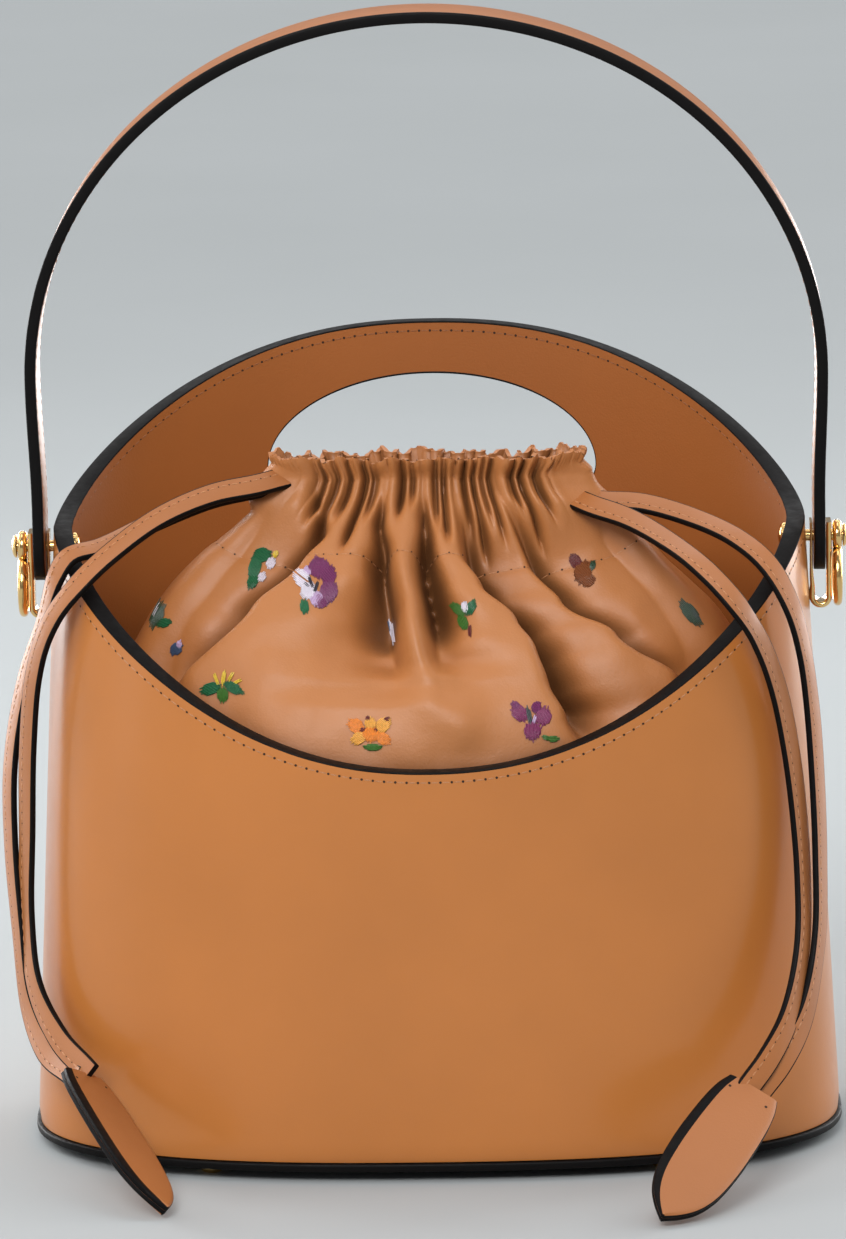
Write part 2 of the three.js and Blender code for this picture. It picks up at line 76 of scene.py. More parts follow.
# Side fittings and strap
PIN_HEIGHT = 185.5
STRAP_HALF_WIDTH = 11.5
STRAP_THICKNESS = 3.5
STRAP_HALF_SPAN = 123
STRAP_PIN_SPAN = 121.8
ARCH_SPRING = 239
ARCH_RISE = 111.5
STRAP_END_DROP = 10.5
RING_WIRE = 1.4
RING_CENTRE = 125.6
RING_EYE = 4.4
RING_BORE = 1.9
RING_HALF_WIDTH = 8.2            # of the loop, to the middle of its wire
RING_HALF_HEIGHT = 8.45
RING_DROP = 12.25                # from the pin down to the middle of the loop
PIN_RADIUS = 1.8
HEAD_FACE = 127.3
HEAD_RADIUS = 3.6
CAP_RADIUS = 4.2
BRACKET_HALF_WIDTH = 4.5

# Stitching
STITCH_PITCH = 3.4
STITCH_INSET = 2.7

# Drawstrings: a flat lace, its black edges included
LACE_WIDTH = 7.4
LACE_THICKNESS = 2.0
TAB_LENGTH = 62
TAB_WIDTH = 23
TAB_LEATHER = 1.5
TAB_GAP = 0.3
LACE_TUCK = 9                    # how far a lace starts inside the casing
LACE_TUCK_BACK = 2.5             # and how much further back than its route
LACE_STEP = 1.5                  # between two rings of its mesh
LEAF_SWELL = 0.28                # how far a leaf's faces swell in the middle

scene = bpy.context.scene


# ---- Small helpers ---------------------------------------------------------------------------


def clamp(t):
    return min(max(t, 0.0), 1.0)


def smooth(t):
    t = clamp(t)
    return t * t * (3 - 2 * t)


def between(t, low, high):
    """How far t is on its way from low to high, from 0 to 1."""
    return clamp((t - low) / (high - low))


def signed_power(t, power):
    return math.copysign(abs(t) ** power, t)


def along(table, key):
    """The value at key in a table of (key, value) pairs that rise, eased between the pairs."""
    if key <= table[0][0]:
        return table[0][1]
    for (low, first), (high, last) in zip(table, table[1:]):
        if key <= high:
            return first + (last - first) * smooth((key - low) / (high - low))
    return table[-1][1]


def superellipse(angle, half_width, half_depth, corner):
    x = half_width * signed_power(math.cos(angle), 2 / corner)
    y = half_depth * signed_power(math.sin(angle), 2 / corner)
    return x, y


def wall_plan(z):
    """Half width, half depth and corner exponent of the body at height z."""
    rise = (z - SOLE_TOP) / (PIN_HEIGHT - SOLE_TOP)
    half_width = BASE_HALF_WIDTH - SIDE_LEAN * rise
    half_depth = BASE_HALF_DEPTH + FRONT_SWELL * clamp(z / FRONT_RIM)
    corner = CORNER_LOW + (CORNER_HIGH - CORNER_LOW) * clamp(rise)
    return half_width, half_depth, corner


def wall_point(angle, z, inset):
    """A point of the body's wall, inset from its outer face."""
    half_width, half_depth, corner = wall_plan(z)
    x, y = superellipse(angle, half_width - inset, half_depth - inset, corner)
    return Vector((x, y, z))


def wall_normal(angle, z):
    return (wall_point(angle, z, 0) - wall_point(angle, z, WALL)).normalized()


def rim_height(angle):
    """Height of the rim round the plan: 0 and 180 degrees are the sides, -90 is the front."""
    side = abs(math.cos(angle))
    if math.sin(angle) > 0:
        return SIDE_RIM + (BACK_RIM - SIDE_RIM) * math.sin(angle) ** 1.55
    return FRONT_RIM + (SIDE_RIM - FRONT_RIM) * (0.9 * side**1.85 + 0.1 * side**14)


def angle_at(x, z):
    """The angle, on the back half, at which the wall stands at that x."""
    half_width, _, corner = wall_plan(z)
    return math.acos(signed_power(max(-1, min(1, x / half_width)), corner / 2))


def rounded_section(half_wide, half_thick, radius, steps=4):
    """The outline of a bar with rounded corners, and 1 for each of its sides that is an edge."""
    points = []
    edges = []
    corners = [(1, 1), (-1, 1), (-1, -1), (1, -1)]
    for number, (sx, sy) in enumerate(corners):
        for step in range(steps + 1):
            turn = math.radians(90 * (number + step / steps))
            x = sx * (half_wide - radius) + radius * math.cos(turn)
            y = sy * (half_thick - radius) + radius * math.sin(turn)
            points.append((x, y))
            face_follows = step == steps and number in (0, 2)
            edges.append(0 if face_follows else 1)
    return points, edges


def mesh_object(name, points, faces, materials, slots=None, crease=38):
    mesh = bpy.data.meshes.new(name)
    mesh.from_pydata([tuple(c * MM for c in p) for p in points], [], faces)
    for material in materials:
        mesh.materials.append(material)
    if slots:
        mesh.polygons.foreach_set("material_index", slots)
    mesh.validate()
    mesh.shade_smooth()
    mesh.set_sharp_from_angle(angle=math.radians(crease))
    piece = bpy.data.objects.new(name, mesh)
    scene.collection.objects.link(piece)
    return piece


def outward(points, faces):
    """The faces, turned over if together they enclose a negative volume."""
    volume = 0
    for face in faces:
        a = Vector(points[face[0]])
        for second, third in zip(face[1:], face[2:]):
            volume += a.dot(Vector(points[second]).cross(Vector(points[third])))
    return faces if volume > 0 else [tuple(reversed(face)) for face in faces]


def loft_data(rings, zones=None, closed=False, cap_zone=0):
    """Points, faces and slots of a closed skin over rings of points."""
    count = len(rings[0])
    points = [tuple(p) for ring in rings for p in ring]
    faces = []
    slots = []
    for i in range(len(rings) if closed else len(rings) - 1):
        low = i * count
        high = ((i + 1) % len(rings)) * count
        for k in range(count):
            after = (k + 1) % count
            faces.append((low + k, low + after, high + after, high + k))
            slots.append(zones[k] if zones else 0)
    if not closed:
        last = (len(rings) - 1) * count
        faces.append(tuple(reversed(range(count))))
        faces.append(tuple(range(last, last + count)))
        slots += [cap_zone, cap_zone]
    return points, outward(points, faces), slots


def loft(name, rings, materials, zones=None, closed=False, cap_zone=0, crease=38):
    points, faces, slots = loft_data(rings, zones, closed, cap_zone)
    return mesh_object(name, points, faces, materials, slots, crease)


def merged(name, parts, materials, crease=38):
    """One mesh from several parts, each a (points, faces, slots)."""
    points = []
    faces = []
    slots = []
    for part_points, part_faces, part_slots in parts:
        start = len(points)
        points += part_points
        faces += [tuple(start + i for i in face) for face in part_faces]
        slots += part_slots
    return mesh_object(name, points, faces, materials, slots, crease)


def sweep(path, across, up, section):
    return [
        [p + a * x + u * y for x, y in section]
        for p, a, u in zip(path, across, up)
    ]


def tangents(path, closed=False):
    count = len(path)
    found = []
    for i in range(count):
        after = path[(i + 1) % count] if closed else path[min(i + 1, count - 1)]
        before = path[i - 1] if closed else path[max(i - 1, 0)]
        found.append((after - before).normalized())
    return found


def circle(centre, across, up, sides):
    """Points round the ellipse that has the half axes across and up."""
    turns = [2 * math.pi * k / sides for k in range(sides)]
    return [centre + across * math.cos(turn) + up * math.sin(turn) for turn in turns]


def lathe(profile, sides, centre, axis="z"):
    """Rings of a turned shape: profile points are (radius, place along the axis)."""
    across, up, forward = (FRONT_BACK, UP, RIGHT) if axis == "x" else (RIGHT, FRONT_BACK, UP)
    rings = []
    for radius, place in profile:
        reach = max(radius, 0.01)
        rings.append(circle(Vector(centre) + forward * place, across * reach, up * reach, sides))
    return rings


def centripetal(route, spacing):
    """Evenly spaced points on the centripetal Catmull-Rom curve through a route."""
    knots = [Vector(p) for p in route]
    knots = [2 * knots[0] - knots[1]] + knots + [2 * knots[-1] - knots[-2]]
    dense = []
    for p0, p1, p2, p3 in zip(knots, knots[1:], knots[2:], knots[3:]):
        t1 = math.sqrt((p1 - p0).length)
        t2 = t1 + math.sqrt((p2 - p1).length)
        t3 = t2 + math.sqrt((p3 - p2).length)
        for step in range(24):
            t = t1 + (t2 - t1) * step / 24
            a1 = p0.lerp(p1, t / t1)
            a2 = p1.lerp(p2, (t - t1) / (t2 - t1))
            a3 = p2.lerp(p3, (t - t2) / (t3 - t2))
            b1 = a1.lerp(a2, t / t2)
            b2 = a2.lerp(a3, (t - t1) / (t3 - t1))
            dense.append(b1.lerp(b2, (t - t1) / (t2 - t1)))
    dense.append(knots[-2])
    return evenly(dense, spacing)


def evenly(line, spacing):
    """Points at equal steps along a line, its two ends kept."""
    lengths = [0]
    for a, b in zip(line, line[1:]):
        lengths.append(lengths[-1] + (b - a).length)
    count = max(2, round(lengths[-1] / spacing))
    found = []
    i = 0
    for step in range(count + 1):
        want = lengths[-1] * step / count
        while i < len(line) - 2 and lengths[i + 1] < want:
            i += 1
        part = (want - lengths[i]) / max(lengths[i + 1] - lengths[i], 1e-9)
        found.append(line[i].lerp(line[i + 1], clamp(part)))
    return found


def settle(piece, body, slot, *nodes):
    """The piece rides on a body and stands for CAD nodes, which it hides; the slot is not used."""
    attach(piece, body)
    if nodes:
        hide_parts(*nodes)
    return piece


# ---- Materials -------------------------------------------------------------------------------


def new_material(name, colour, roughness, **sockets):
    """A Principled material. Sockets are named with _ for a space."""
    material = bpy.data.materials.new(name)
    material.use_nodes = True
    tree = material.node_tree
    shader = tree.nodes["Principled BSDF"]
    shader.inputs["Base Color"].default_value = (*colour, 1)
    shader.inputs["Roughness"].default_value = roughness
    for socket, value in sockets.items():
        shader.inputs[socket.replace("_", " ")].default_value = value
    return material, tree, shader


def object_coordinates(tree):
    return tree.nodes.new("ShaderNodeTexCoord").outputs["Object"]


def noise_texture(tree, place, scale, detail=3, roughness=0.55):
    texture = tree.nodes.new("ShaderNodeTexNoise")
    texture.inputs["Scale"].default_value = scale
    texture.inputs["Detail"].default_value = detail
    texture.inputs["Roughness"].default_value = roughness
    tree.links.new(place, texture.inputs["Vector"])
    return texture.outputs["Fac"]


def pebble_texture(tree, place, scale):
    texture = tree.nodes.new("ShaderNodeTexVoronoi")
    texture.inputs["Scale"].default_value = scale
    tree.links.new(place, texture.inputs["Vector"])
    return texture.outputs["Distance"]


def remap(tree, value, low, high, from_low=0.3, from_high=0.7):
    node = tree.nodes.new("ShaderNodeMapRange")
    node.inputs["From Min"].default_value = from_low
    node.inputs["From Max"].default_value = from_high
    node.inputs["To Min"].default_value = low
    node.inputs["To Max"].default_value = high
    tree.links.new(value, node.inputs["Value"])
    return node.outputs["Result"]


def blended_colour(tree, factor, first, second):
    node = tree.nodes.new("ShaderNodeMix")
    node.data_type = "RGBA"
    node.inputs["A"].default_value = (*first, 1)
    node.inputs["B"].default_value = (*second, 1)
    tree.links.new(factor, node.inputs["Factor"])
    return node.outputs["Result"]


def painted_fold_shade(tree, colour, dark):
    """The colour, going over to a darker one where the surface lies deep between folds: painted
    shade, read from ambient occlusion.
    """
    open_air = tree.nodes.new("ShaderNodeAmbientOcclusion")
    open_air.samples = 8
    open_air.inputs["Distance"].default_value = 0.02
    node = tree.nodes.new("ShaderNodeMix")
    node.data_type = "RGBA"
    node.inputs["A"].default_value = (*dark, 1)
    tree.links.new(colour, node.inputs["B"])
    tree.links.new(remap(tree, open_air.outputs["AO"], 0, 1, 0.2, 0.75), node.inputs["Factor"])
    return node.outputs["Result"]


def add_bump(tree, shader, layers):
    """Stacked bumps, each (height, strength, depth in metres)."""
    normal = None
    for height, strength, depth in layers:
        bump = tree.nodes.new("ShaderNodeBump")
        bump.inputs["Strength"].default_value = strength
        bump.inputs["Distance"].default_value = depth
        tree.links.new(height, bump.inputs["Height"])
        if normal:
            tree.links.new(normal, bump.inputs["Normal"])
        normal = bump.outputs["Normal"]
    tree.links.new(normal, shader.inputs["Normal"])


def scaled(colour, factor):
    return tuple(min(1, c * factor) for c in colour)


def drifting_tone(tree, place, colour, scale, detail, dark, light):
    """A noise, and the colour as it drifts with it from a darker to a lighter tone."""
    drift = remap(tree, noise_texture(tree, place, scale, detail), 0, 1)
    return drift, blended_colour(tree, drift, scaled(colour, dark), scaled(colour, light))


def vary_gloss(tree, shader, place, scale, detail, low, high):
    gloss = remap(tree, noise_texture(tree, place, scale, detail), low, high)
    tree.links.new(gloss, shader.inputs["Roughness"])


def leather(name, colour, roughness, grain=0.25, creases=0.0, wave=0.05, fold_shade=0.0, **sockets):
    """Calf leather: a slow drift of tone, fine pores, a pebbled grain and, if soft, creases, with
    painted shade in the hollows between folds where asked.
    """
    material, tree, shader = new_material(name, colour, roughness, **sockets)
    place = object_coordinates(tree)
    _, toned = drifting_tone(tree, place, colour, 14, 4, 0.94, 1.05)
    # Painted shade: the colour darkens where the folds hide the surface from light.
    if fold_shade:
        toned = painted_fold_shade(tree, toned, scaled(colour, fold_shade))
    tree.links.new(toned, shader.inputs["Base Color"])
    vary_gloss(tree, shader, place, 160, 4, roughness - 0.02, roughness + 0.03)
    layers = [
        (noise_texture(tree, place, 22, 2), wave, 0.0012),
        (pebble_texture(tree, place, 1500), grain, 0.00012),
        (noise_texture(tree, place, 3200, 2), grain * 0.6, 0.00008),
    ]
    if creases:
        layers.insert(1, (noise_texture(tree, place, 190, 5, 0.6), creases, 0.0009))
    add_bump(tree, shader, layers)
    return material


def edge_paint():
    material, tree, shader = new_material(
        "edge_paint", (0.0028, 0.0022, 0.0022), 0.55, Specular_IOR_Level=0.12
    )
    place = object_coordinates(tree)
    vary_gloss(tree, shader, place, 320, 3, 0.42, 0.6)
    add_bump(tree, shader, [(noise_texture(tree, place, 700, 3), 0.25, 0.0002)])
    return material


def gold():
    colour = (0.83, 0.55, 0.22)
    material, tree, shader = new_material("gold", colour, 0.16, Metallic=1)
    place = object_coordinates(tree)
    _, tinted = drifting_tone(tree, place, colour, 240, 2, 0.93, 1.05)
    tree.links.new(tinted, shader.inputs["Base Color"])
    vary_gloss(tree, shader, place, 900, 4, 0.11, 0.22)
    add_bump(tree, shader, [(noise_texture(tree, place, 1600, 2), 0.12, 0.00005)])
    return material


def board():
    colour = (0.48, 0.38, 0.23)
    material, tree, shader = new_material("fibre_board", colour, 0.85)
    place = object_coordinates(tree)
    fleck, mottled = drifting_tone(tree, place, colour, 1100, 5, 0.7, 1.1)
    tree.links.new(mottled, shader.inputs["Base Color"])
    add_bump(tree, shader, [(fleck, 0.4, 0.0002)])
    return material


def thread(name, colour, roughness=0.5):
    """Twisted thread: a fine banding and a soft sheen."""
    material, tree, shader = new_material(
        name, colour, roughness, Sheen_Weight=0.08, Sheen_Roughness=0.4
    )
    place = object_coordinates(tree)
    twist, toned = drifting_tone(tree, place, colour, 2600, 2, 0.72, 1.15)
    tree.links.new(toned, shader.inputs["Base Color"])
    add_bump(tree, shader, [(twist, 0.5, 0.0001)])
    return material


TAN = (0.50, 0.172, 0.036)
LEATHER = leather(
    "body_leather", TAN, 0.32, grain=0.08, Coat_Weight=0.3, Coat_Roughness=0.16,
    Specular_IOR_Level=0.38,
)
STRAP_LEATHER = leather(
    "strap_leather", (0.37, 0.125, 0.03), 0.4, grain=0.1, Coat_Weight=0.08,
    Coat_Roughness=0.22, Specular_IOR_Level=0.3,
)
LINING = leather("wall_lining", (0.34, 0.108, 0.023), 0.55, grain=0.3, Specular_IOR_Level=0.3)
# The pouch leather carries painted shade in the hollows between its folds.
POUCH_LEATHER = leather(
    "pouch_leather", (0.45, 0.165, 0.045), 0.5, grain=0.28, creases=0.2, wave=0.2,
    fold_shade=0.3, Coat_Weight=0.05, Coat_Roughness=0.35,
)
LACE_LEATHER = leather(
    "lace_leather", (0.375, 0.13, 0.034), 0.48, wave=0.2, Coat_Weight=0.12, Coat_Roughness=0.28
)
EDGE = edge_paint()
GOLD = gold()
BOARD = board()
TAN_THREAD = thread("tan_thread", (0.50, 0.22, 0.09))
LINING_THREAD = thread("lining_thread", (0.30, 0.105, 0.03))
# Needle holes are drawn as dark discs: painted shade for the inside of each hole.
HOLE_SHADE = new_material("stitch_hole_shade", (0.035, 0.012, 0.004), 0.85)[0]


# ---- Camera ----------------------------------------------------------------------------------


def build_camera():
    distance = 2.4499
    height = 0.6403
    yaw = math.radians(-1.082)
    aim_left = math.radians(0.057)
    pitch = math.radians(11.077)
    roll = math.radians(1.023)
    data = bpy.data.cameras.new("camera")
    data.sensor_width = 36
    data.lens = 234.7
    data.clip_end = 30
    camera = bpy.data.objects.new("camera", data)
    spot = Vector((-distance * math.sin(yaw), -distance * math.cos(yaw), height))
    camera.matrix_world = (
        Matrix.Translation(spot)
        @ Matrix.Rotation(aim_left - yaw, 4, "Z")
        @ Matrix.Rotation(math.pi / 2 - pitch, 4, "X")
        @ Matrix.Rotation(-roll, 4, "Z")
    )
    scene.collection.objects.link(camera)
    scene.camera = camera


# ---- Stitches --------------------------------------------------------------------------------


def stitch_parts(line, pitch, long, radius, sink=0.12, hole=0.26):
    """Threads, and dark discs of painted shade at the needle holes, along a line of (point,
    normal), as parts for one mesh.
    """
    points = [p for p, _ in line]
    lengths = [0]
    for a, b in zip(points, points[1:]):
        lengths.append(lengths[-1] + (b - a).length)
    count = int(lengths[-1] / pitch)
    parts = []
    i = 0
    for n in range(count):
        want = (n + 0.5) * pitch + (lengths[-1] - count * pitch) / 2
        while i < len(line) - 2 and lengths[i + 1] < want:
            i += 1
        part = (want - lengths[i]) / max(lengths[i + 1] - lengths[i], 1e-9)
        centre = points[i].lerp(points[i + 1], clamp(part))
        run = (points[i + 1] - points[i]).normalized()
        normal = line[i][1]
        side = run.cross(normal).normalized()
        parts.append(thread_part(centre - normal * sink, run, side, normal, long, radius))
        parts.append(hole_shade_part(centre + run * pitch / 2 + normal * 0.03, run, side, hole))
    return parts


def thread_part(centre, run, side, normal, long, radius):
    rings = []
    for step in range(5):
        t = step / 4 * 2 - 1
        swell = radius * math.sqrt(max(1 - t * t, 0.06))
        rings.append(circle(centre + run * (t * long / 2), side * swell, normal * swell, 6))
    return loft_data(rings)


# A flat dark disc just over the surface: painted shade for a needle hole.
def hole_shade_part(centre, run, side, radius):
    ring = [tuple(p) for p in circle(centre, run * radius, side * radius, 7)]
    return ring, [tuple(range(7))], [1]


# ---- Drawstrings -----------------------------------------------------------------------------

# The free ends of the drawstrings, from the casing over the front rim and down to a tab
LACE_ROUTES = {
    "left_lace_front": [
        (-52.5, -8, 205), (-66, -12, 203), (-82, -20, 197.5), (-96, -30, 189), (-106, -39, 181),
        (-115, -36, 169), (-121, -29, 152), (-124, -24, 128), (-125, -24, 100), (-125.5, -27, 74),
        (-123, -35, 54), (-115, -50, 41), (-106.5, -62.3, 34.8),
    ],
    "left_lace_back": [
        (-52.5, -2, 203), (-68, -2, 199.5), (-86, -10, 193.5), (-100, -22, 189),
        (-109.8, -27.5, 187), (-114, -28.5, 180.5), (-118, -25, 167), (-125, -19, 147),
        (-130, -16, 121), (-130.5, -18, 97), (-128.5, -24, 70), (-126, -30, 48),
        (-119.5, -45, 36), (-110.8, -59.8, 32.6),
    ],
    "right_lace_front": [
        (50, -10, 197.5), (61, -19, 195), (73, -34, 190.5), (84, -50, 184.5), (93.3, -59, 175.5),
        (100.8, -53, 162), (105.8, -48, 147), (109.2, -45, 129.5), (111.6, -44.5, 109.5),
        (112.8, -47.5, 88.5), (112.2, -55, 68.5), (107.5, -66, 48.5), (100.8, -74.2, 37.5),
        (95.8, -77.6, 31.4),
    ],
    "right_lace_back": [
        (54, -5, 198), (65.5, -7, 197.5), (80.5, -14, 194.2), (94.5, -27, 189.6),
        (103.8, -38, 183), (110, -42, 172), (113.8, -41, 158), (116.2, -39, 140),
        (117.6, -40, 118), (118.2, -43.5, 94), (117.5, -50, 70), (112.6, -61, 48),
        (105.2, -70.8, 36), (99.3, -75.4, 29.4),
    ],
}

# Which way each lace's face looks, as (share of its length, direction) pairs for the left side
LACE_FACING = {
    "front": [
        (0, (0.0, -0.75, 0.66)), (0.25, (-0.2, -0.62, 0.75)), (0.42, (-0.62, -0.6, 0.35)),
        (0.8, (-0.86, -0.5, 0.1)), (1, (-0.5, -0.75, 0.42)),
    ],
    "back": [
        (0, (0.0, -0.6, 0.8)), (0.25, (-0.1, -0.5, 0.86)), (0.42, (-0.75, -0.45, 0.35)),
        (0.8, (-0.9, -0.4, 0.1)), (1, (-0.5, -0.72, 0.45)),
    ],
}


def facing(name, share):
    """The direction that a lace's face looks in at a share of its length."""
    side, _, place = name.split("_")
    table = LACE_FACING[place]
    looks = [along([(at, look[axis]) for at, look in table], share) for axis in range(3)]
    if side == "right":
        looks[0] = -looks[0]
    return Vector(looks).normalized()


def build_lace(name, route):
    first = Vector(route[0])
    start = first + (first - Vector(route[1])).normalized() * LACE_TUCK
    start += FRONT_BACK * LACE_TUCK_BACK
    path = centripetal([start, *route], LACE_STEP)
    last_way = (path[-1] - path[-2]).normalized()
    path += [path[-1] + last_way * LACE_STEP, path[-1] + last_way * 2 * LACE_STEP]
    ways = tangents(path)
    across = []
    face = []
    for i, way in enumerate(ways):
        look = facing(name, i / (len(path) - 1))
        side = way.cross(look).normalized()
        across.append(side)
        face.append(side.cross(way).normalized())
    section, edges = rounded_section(LACE_WIDTH / 2, LACE_THICKNESS / 2, 0.55, 3)
    rings = sweep(path, across, face, section)
    lace = loft(name + "_leather", rings, [LACE_LEATHER, EDGE], edges, cap_zone=1, crease=50)
    settle(lace, "body", "lace_leather", name)
    stitch_offset = 1.35
    line = [
        (p + a * stitch_offset + f * (LACE_THICKNESS / 2), f)
        for p, a, f in zip(path, across, face)
    ]
    parts = stitch_parts(line, STITCH_PITCH, 2.2, 0.3, 0.1)
    stitches = merged(name + "_stitches", parts, [TAN_THREAD, HOLE_SHADE])
    settle(stitches, "body", "lace_leather")
    metres = [tuple(c * MM for c in p) for p in path]
    length = sum((b - a).length for a, b in zip(path, path[1:])) * MM
    return lace, metres, length


# Each tab's top middle, its point, how far it is rolled, and how wide its edge paint wraps over
TABS = {
    "left_tab": {"top": (-107.5, -63.5, 32.5), "tip": (-81, -110.5, 3.4), "roll": 0.5, "wrap": 0.5},
    "right_tab": {"top": (96.3, -78.2, 29.3), "tip": (68, -127, 3.2), "roll": 0.55, "wrap": 2.4},
}

# Half the leaf's width, as a share of its widest, at shares of its length from the blunt end
LEAF_OUTLINE = [
    (0, 0.72), (0.08, 0.86), (0.2, 0.95), (0.4, 1), (0.55, 0.995), (0.7, 0.93), (0.8, 0.81),
    (0.88, 0.62), (0.95, 0.34), (1, 0.06),
]


def leaf_half_width(share):
    """Half the leaf's width at a share of its length: blunt at the top, pointed at the end."""
    knots = [Vector((at, wide, wide)) for at, wide in LEAF_OUTLINE]
    return TAB_WIDTH / 2 * along_curve(knots, share)[0]


def build_leaf(name, place, height):
    """One leather leaf of a tab, from its blunt top to its point, height above the middle."""
    top = Vector(place["top"])
    way = (Vector(place["tip"]) - top).normalized()
    side = UP.cross(way).normalized()
    side = Matrix.Rotation(-place["roll"], 3, way) @ side
    up = way.cross(side)
    half_thick = TAB_LEATHER / 2
    rings = []
    steps = 64
    for step in range(steps + 1):
        share = 1 - (1 - step / steps) ** 1.25
        half = leaf_half_width(share)
        wrap = min(place["wrap"] if height > 0 else 0, half * 0.3)
        section, edges = leaf_section(half, half_thick, math.copysign(1, height), wrap)
        centre = top + way * (share * TAB_LENGTH) + up * height
        rings.append([centre + side * x + up * y for x, y in section])
    leaf = loft(name + "_leather", rings, [LACE_LEATHER, EDGE], edges, cap_zone=1, crease=50)
    # Two needle holes near the blunt end, drawn as discs of painted shade.
    for place_across in (-0.55, 0.55):
        spot = top + way * 4.5 + side * (place_across * TAB_WIDTH / 2) + up * height
        sign = 1 if height > 0 else -1
        spot += up * (sign * (half_thick + LEAF_SWELL * 0.7))
        hole = merged(name + "_hole", [hole_shade_part(spot, way, side * sign, 0.5)], [HOLE_SHADE, HOLE_SHADE])
        settle(hole, "body", "lace_leather")
    return settle(leaf, "body", "lace_leather", name)


def leaf_section(half, half_thick, outer, wrap):
    """A flat bar whose outer face swells a little, its painted edge wrapped over on one side."""
    points = []
    edges = []
    face_steps = 16
    for sign in (1, -1):
        for step in range(face_steps + 1):
            t = sign * (1 - 2 * step / face_steps)
            bevel = 0.28 * smooth(between(abs(t) * half, half - 1.2, half))
            swell = LEAF_SWELL * (1 - t * t) - bevel if sign == outer else TAB_GAP / 2 - 0.02
            points.append((t * (half - 0.25), sign * (half_thick + swell)))
            painted = t * half < -half + wrap and sign == outer
            edges.append(1 if painted or step == face_steps else 0)
        points.append((-sign * half, sign * (half_thick - 0.45)))
        edges.append(1)
        points.append((-sign * half, -sign * (half_thick - 0.45)))
        edges.append(1)
    return points, edges


def build_drawstrings():
    for name, place in TABS.items():
        lift = TAB_GAP / 2 + TAB_LEATHER / 2
        build_leaf(name + "_front", place, lift)
        build_leaf(name + "_back", place, -lift)
    for name, route in LACE_ROUTES.items():
        lace, path, length = build_lace(name, route)


# ---- Walls and base --------------------------------------------------------------------------


def front_skin(name, node, inset, thick, material, slot):
    """One leather face of the front half, from the sole to the rim."""
    columns = 220
    rows = 44
    rings = []
    for i in range(columns + 1):
        angle = -math.pi + math.pi * i / columns
        top = rim_height(angle)
        heights = [BODY_BOTTOM + (top - BODY_BOTTOM) * j / rows for j in range(rows + 1)]
        outer = [wall_point(angle, z, inset + fold_under(z, inset)) for z in heights]
        inner = [wall_point(angle, z, inset + thick) for z in reversed(heights)]
        rings.append(outer + inner)
    return settle(loft(name, rings, [material]), "body", slot, node)


def fold_under(z, inset):
    """How far the outer face turns in over its last bit above the sole."""
    drop = clamp((BODY_BOTTOM + 1.2 - z) / 1.2)
    return 0.6 * drop**2 if inset == 0 else 0


def grip_outline(turn):
    """A point of the grab hole's outline as (angle round the plan, height)."""
    z = GRIP_HEIGHT + (GRIP_UP if math.sin(turn) > 0 else GRIP_DOWN) * math.sin(turn)
    return angle_at(GRIP_HALF_WIDTH * math.cos(turn), z), z


def back_edge(turn):
    """Where a line from the middle of the grab hole leaves the back panel: (angle, height)."""
    low = 0
    high = 2
    for _ in range(40):
        reach = (low + high) / 2
        angle = math.pi / 2 - reach * math.pi / 2 * math.cos(turn)
        z = GRIP_HEIGHT + reach * (GRIP_HEIGHT - BODY_BOTTOM) * math.sin(turn)
        on_panel = 0 <= angle <= math.pi and BODY_BOTTOM <= z <= rim_height(angle)
        if on_panel:
            low = reach
        else:
            high = reach
    return angle, z


def back_skin(name, node, inset, thick, material, slot):
    """One leather face of the back half: spokes from the grab hole out to the panel's edge."""
    spokes = 480
    rows = 40
    corner_turns = [math.atan2(-1, 1), math.atan2(-1, -1)]
    side_drop = (SIDE_RIM - GRIP_HEIGHT) / (GRIP_HEIGHT - BODY_BOTTOM)
    corner_turns += [math.atan2(side_drop, 1), math.atan2(side_drop, -1)]
    turns = [-math.pi + 2 * math.pi * i / spokes for i in range(spokes)]
    turns = sorted(turns + corner_turns)
    rings = []
    for turn in turns:
        hole_angle, hole_z = grip_outline(turn)
        edge_angle, edge_z = back_edge(turn)
        spoke = []
        for j in range(rows + 1):
            f = j / rows
            angle = hole_angle + (edge_angle - hole_angle) * f
            spoke.append((angle, hole_z + (edge_z - hole_z) * f))
        outer = [wall_point(a, z, inset + fold_under(z, inset)) for a, z in spoke]
        inner = [wall_point(a, z, inset + thick) for a, z in reversed(spoke)]
        rings.append(outer + inner)
    return settle(loft(name, rings, [material], closed=True), "body", slot, node)


def paint_bead(name, places, inward=False):
    """A bead of edge paint over the wall's cut edge, along (angle, height) places."""
    path = [wall_point(a, z, WALL / 2) for a, z in places]
    normals = [wall_normal(a, z) for a, z in places]
    middle = sum(path, Vector()) / len(path)
    across = []
    for p, way, normal in zip(path, tangents(path, closed=True), normals):
        out = way.cross(normal).normalized()
        guide = middle - p if inward else UP
        across.append(out if out.dot(guide) > 0 else -out)
    section, _ = rounded_section(0.4, WALL / 2 + 0.07, 0.35, 3)
    rings = sweep(path, across, normals, section)
    return settle(loft(name, rings, [EDGE], closed=True), "body", "edge_paint")


def rim_stitches(name, first, last, inset, sign):
    """A row of stitches below the rim between two angles, on the face at that inset."""
    line = []
    steps = 700
    for i in range(steps + 1):
        angle = first + (last - first) * i / steps
        z = rim_height(angle)
        slope = (rim_height(angle + 0.001) - rim_height(angle - 0.001)) / (
            wall_point(angle + 0.001, z, 0) - wall_point(angle - 0.001, z, 0)
        ).length
        z -= STITCH_INSET * math.sqrt(1 + slope * slope)
        line.append((wall_point(angle, z, inset), wall_normal(angle, z) * sign))
    cord = TAN_THREAD if sign > 0 else LINING_THREAD
    parts = stitch_parts(line, STITCH_PITCH, 2.5, 0.3, hole=0.42)
    return settle(merged(name, parts, [cord, HOLE_SHADE]), "body", "leather")


